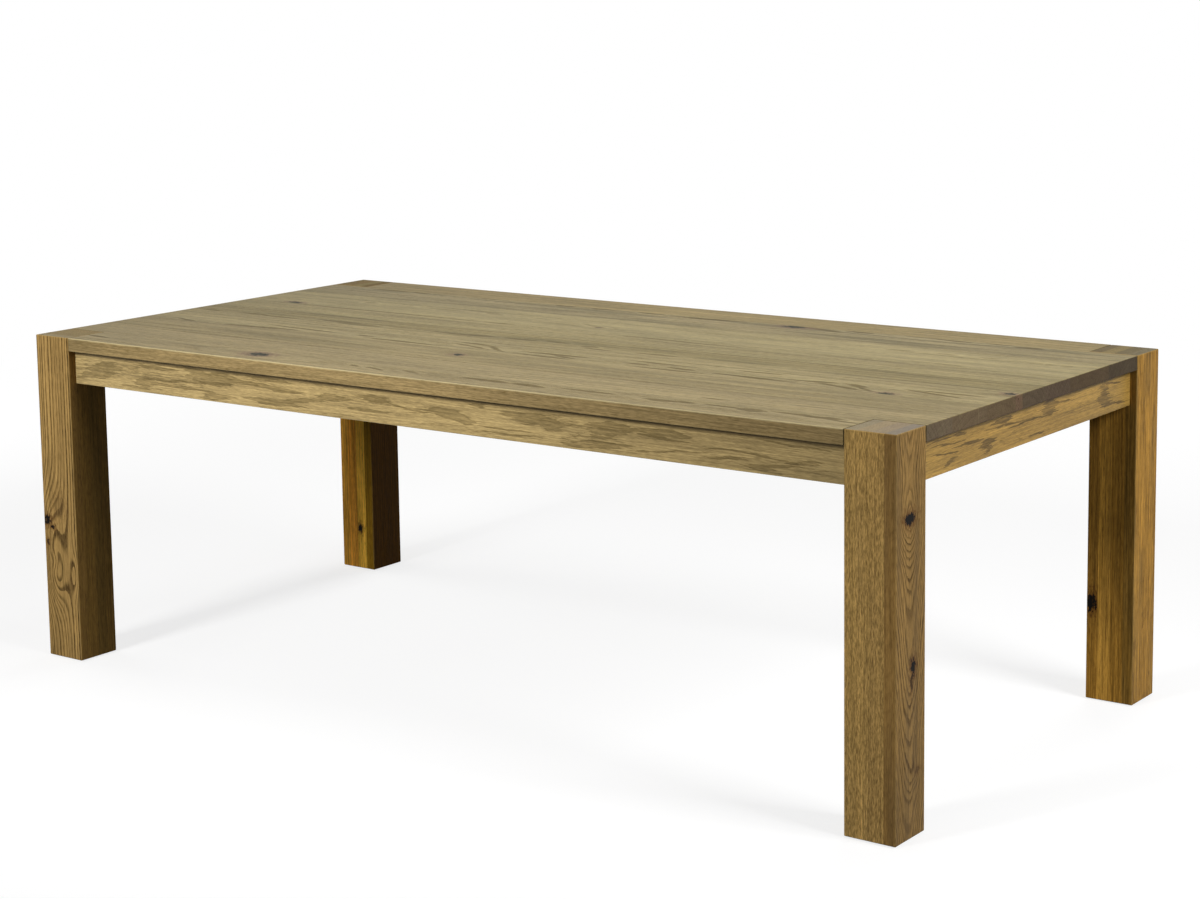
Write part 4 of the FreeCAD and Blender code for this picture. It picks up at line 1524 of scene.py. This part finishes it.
@dataclass(frozen=True)
class Lamp:
    """A soft box that leaves no bright patch: its place, width, depth, power, aim and spread in degrees."""

    name: str
    place: tuple[float, float, float]
    width: float
    depth: float
    power: float
    aim: tuple[float, float, float] = (0.0, 0.0, 0.5)
    spread: float = 180.0

    def hang(self) -> None:
        """Make the lamp."""
        light = bpy.data.lights.new(self.name, "AREA")
        light.shape = "RECTANGLE"
        light.size = self.width
        light.size_y = self.depth
        light.energy = self.power
        light.spread = math.radians(self.spread)
        lamp = bpy.data.objects.new(self.name, light)
        lamp.location = self.place
        lamp.rotation_euler = (Vector(self.aim) - Vector(self.place)).to_track_quat("-Z", "Y").to_euler()
        lamp.visible_glossy = False
        bpy.context.scene.collection.objects.link(lamp)
        log.info("hung %s", self.name)


@dataclass(frozen=True)
class Viewpoint:
    """The camera of the photograph, solved from the table's corners in its frame of pixels."""

    frame_width: float = 1200.0
    frame_height: float = 899.0
    sensor: float = 36.0
    focal_pixels: float = 2445.0
    level_row: float = 300.0
    azimuth: float = 36.34
    elevation: float = 7.877
    roll: float = -0.788
    distance: float = 5.2248
    aim: tuple[float, float, float] = (0.0678, 0.0, 0.8347)

    def set_up(self) -> None:
        """Make the camera and give it to the scene."""
        turn = math.radians(self.azimuth)
        tilt = math.radians(self.elevation)
        lean = math.radians(self.roll)
        back = Vector((math.sin(turn) * math.cos(tilt), -math.cos(turn) * math.cos(tilt), math.sin(tilt)))
        right = Vector((math.cos(turn), math.sin(turn), 0.0))
        up = back.cross(right)
        side = right * math.cos(lean) + up * math.sin(lean)
        head = up * math.cos(lean) - right * math.sin(lean)
        place = Vector(self.aim) + back * self.distance
        data = bpy.data.cameras.new("photo_camera")
        data.sensor_fit = "HORIZONTAL"
        data.sensor_width = self.sensor
        data.lens = self.focal_pixels / self.frame_width * self.sensor
        data.shift_y = (self.level_row - self.frame_height / 2) / self.frame_width
        camera = bpy.data.objects.new("photo_camera", data)
        camera.matrix_world = Matrix.Translation(place) @ Matrix((side, head, back)).transposed().to_4x4()
        bpy.context.scene.collection.objects.link(camera)
        bpy.context.scene.camera = camera


@dataclass
class Studio:
    """The pale floor, the white surround and the soft boxes."""

    floor_size: float = 80.0
    surround: float = 0.06
    floor_bounce: float = 0.08
    floor_shade: float = 0.28
    floor_glow: float = 0.74
    white_from: float = 2.0
    white_at: float = 5.0
    lamps: tuple[Lamp, ...] = (
        Lamp("top_box", (0.55, -0.2, 3.6), 1.6, 1.6, 7.0, (0.55, -0.2, 0.5), 90.0),
        Lamp("front_box", (-0.9, -4.5, 2.45), 0.9, 1.5, 29.0, (-0.42, -0.55, 0.95), 58.0),
        Lamp("right_box", (4.5, -0.4, 2.9), 1.6, 1.4, 175.0),
        Lamp("back_box", (-0.6, 5.2, 2.9), 3.6, 1.6, 120.0),
        Lamp("left_box", (-5.0, 0.2, 1.0), 2.6, 1.2, 90.0),
    )

    def seen_directly(self, sheet: Sheet) -> Socket:
        """Tell a look from soft light.

        Args:
            sheet: The node tree to add to.

        Returns:
            One where the eye, a reflection or a clear body looks, and zero for soft light.
        """
        path = sheet.node("ShaderNodeLightPath").outputs
        straight = sheet.math("MAXIMUM", path["Is Camera Ray"], path["Is Glossy Ray"])
        return sheet.math("MAXIMUM", straight, path["Is Transmission Ray"])

    def set_world(self) -> None:
        """White where it is seen, and an even soft light elsewhere."""
        world = bpy.data.worlds.new("white_surround")
        world.use_nodes = True
        sheet = Sheet(world.node_tree)
        back = world.node_tree.nodes["Background"]
        back.inputs["Color"].default_value = (1.0, 1.0, 1.0, 1.0)
        seen = self.seen_directly(sheet)
        strength = sheet.math("MULTIPLY_ADD", seen, 1.0 - self.surround, self.surround)
        sheet.feed(back.inputs["Strength"], strength)
        bpy.context.scene.world = world

    def grey_diffuse(self, sheet: Sheet, level: float) -> Socket:
        """Add a plain matt surface.

        Args:
            sheet: The node tree to add to.
            level: How light it is.

        Returns:
            The shader's socket.
        """
        made = sheet.node("ShaderNodeBsdfDiffuse")
        made.inputs["Color"].default_value = (level, level, level, 1.0)
        return made.outputs[0]

    def white_glow(self, sheet: Sheet, strength: float) -> Socket:
        """Add a white glow.

        Args:
            sheet: The node tree to add to.
            strength: How bright it is.

        Returns:
            The shader's socket.
        """
        made = sheet.node("ShaderNodeEmission")
        made.inputs["Strength"].default_value = strength
        return made.outputs[0]

    def floor_finish(self) -> bpy.types.Material:
        """Make the floor's material, which shows the shadow close by and is white further off.

        Returns:
            The material.
        """
        material, sheet, surface = start_finish("pale_floor")
        nodes = material.node_tree.nodes
        nodes.remove(surface)
        near = sheet.node("ShaderNodeAddShader")
        sheet.feed(near.inputs[0], self.grey_diffuse(sheet, self.floor_shade))
        sheet.feed(near.inputs[1], self.white_glow(sheet, self.floor_glow))
        reach = sheet.node("ShaderNodeVectorMath", operation="LENGTH")
        sheet.feed(reach.inputs[0], sheet.node("ShaderNodeTexCoord").outputs["Object"])
        seen = sheet.node("ShaderNodeMixShader")
        sheet.feed(seen.inputs[0], sheet.smooth(reach.outputs["Value"], self.white_from, self.white_at))
        sheet.feed(seen.inputs[1], near.outputs[0])
        sheet.feed(seen.inputs[2], self.white_glow(sheet, 1.0))
        choice = sheet.node("ShaderNodeMixShader")
        sheet.feed(choice.inputs[0], self.seen_directly(sheet))
        sheet.feed(choice.inputs[1], self.grey_diffuse(sheet, self.floor_bounce))
        sheet.feed(choice.inputs[2], seen.outputs[0])
        sheet.feed(nodes["Material Output"].inputs["Surface"], choice.outputs[0])
        return material

    def lay_floor(self) -> None:
        """Lay a pale floor that keeps the table's shadow."""
        bpy.ops.mesh.primitive_plane_add(size=self.floor_size)
        floor = bpy.context.object
        floor.name = "studio_floor"
        floor.data.materials.append(self.floor_finish())

    def set_up(self) -> None:
        """Lay the floor, light it and set the plain view."""
        self.set_world()
        self.lay_floor()
        for lamp in self.lamps:
            lamp.hang()
        bpy.context.scene.view_settings.view_transform = "Standard"


def main() -> None:
    """Dress the table piece by piece and set up the studio."""
    logging.basicConfig(level=logging.INFO, format="%(message)s")
    shop = OakShop()
    TableTop().dress(shop)
    for leg in LEGS:
        leg.dress(shop)
    ApronFrame().dress(shop)
    Underframe().dress(shop)
    Fittings().dress()
    Studio().set_up()
    Viewpoint().set_up()


if __name__ == "__main__":
    main()
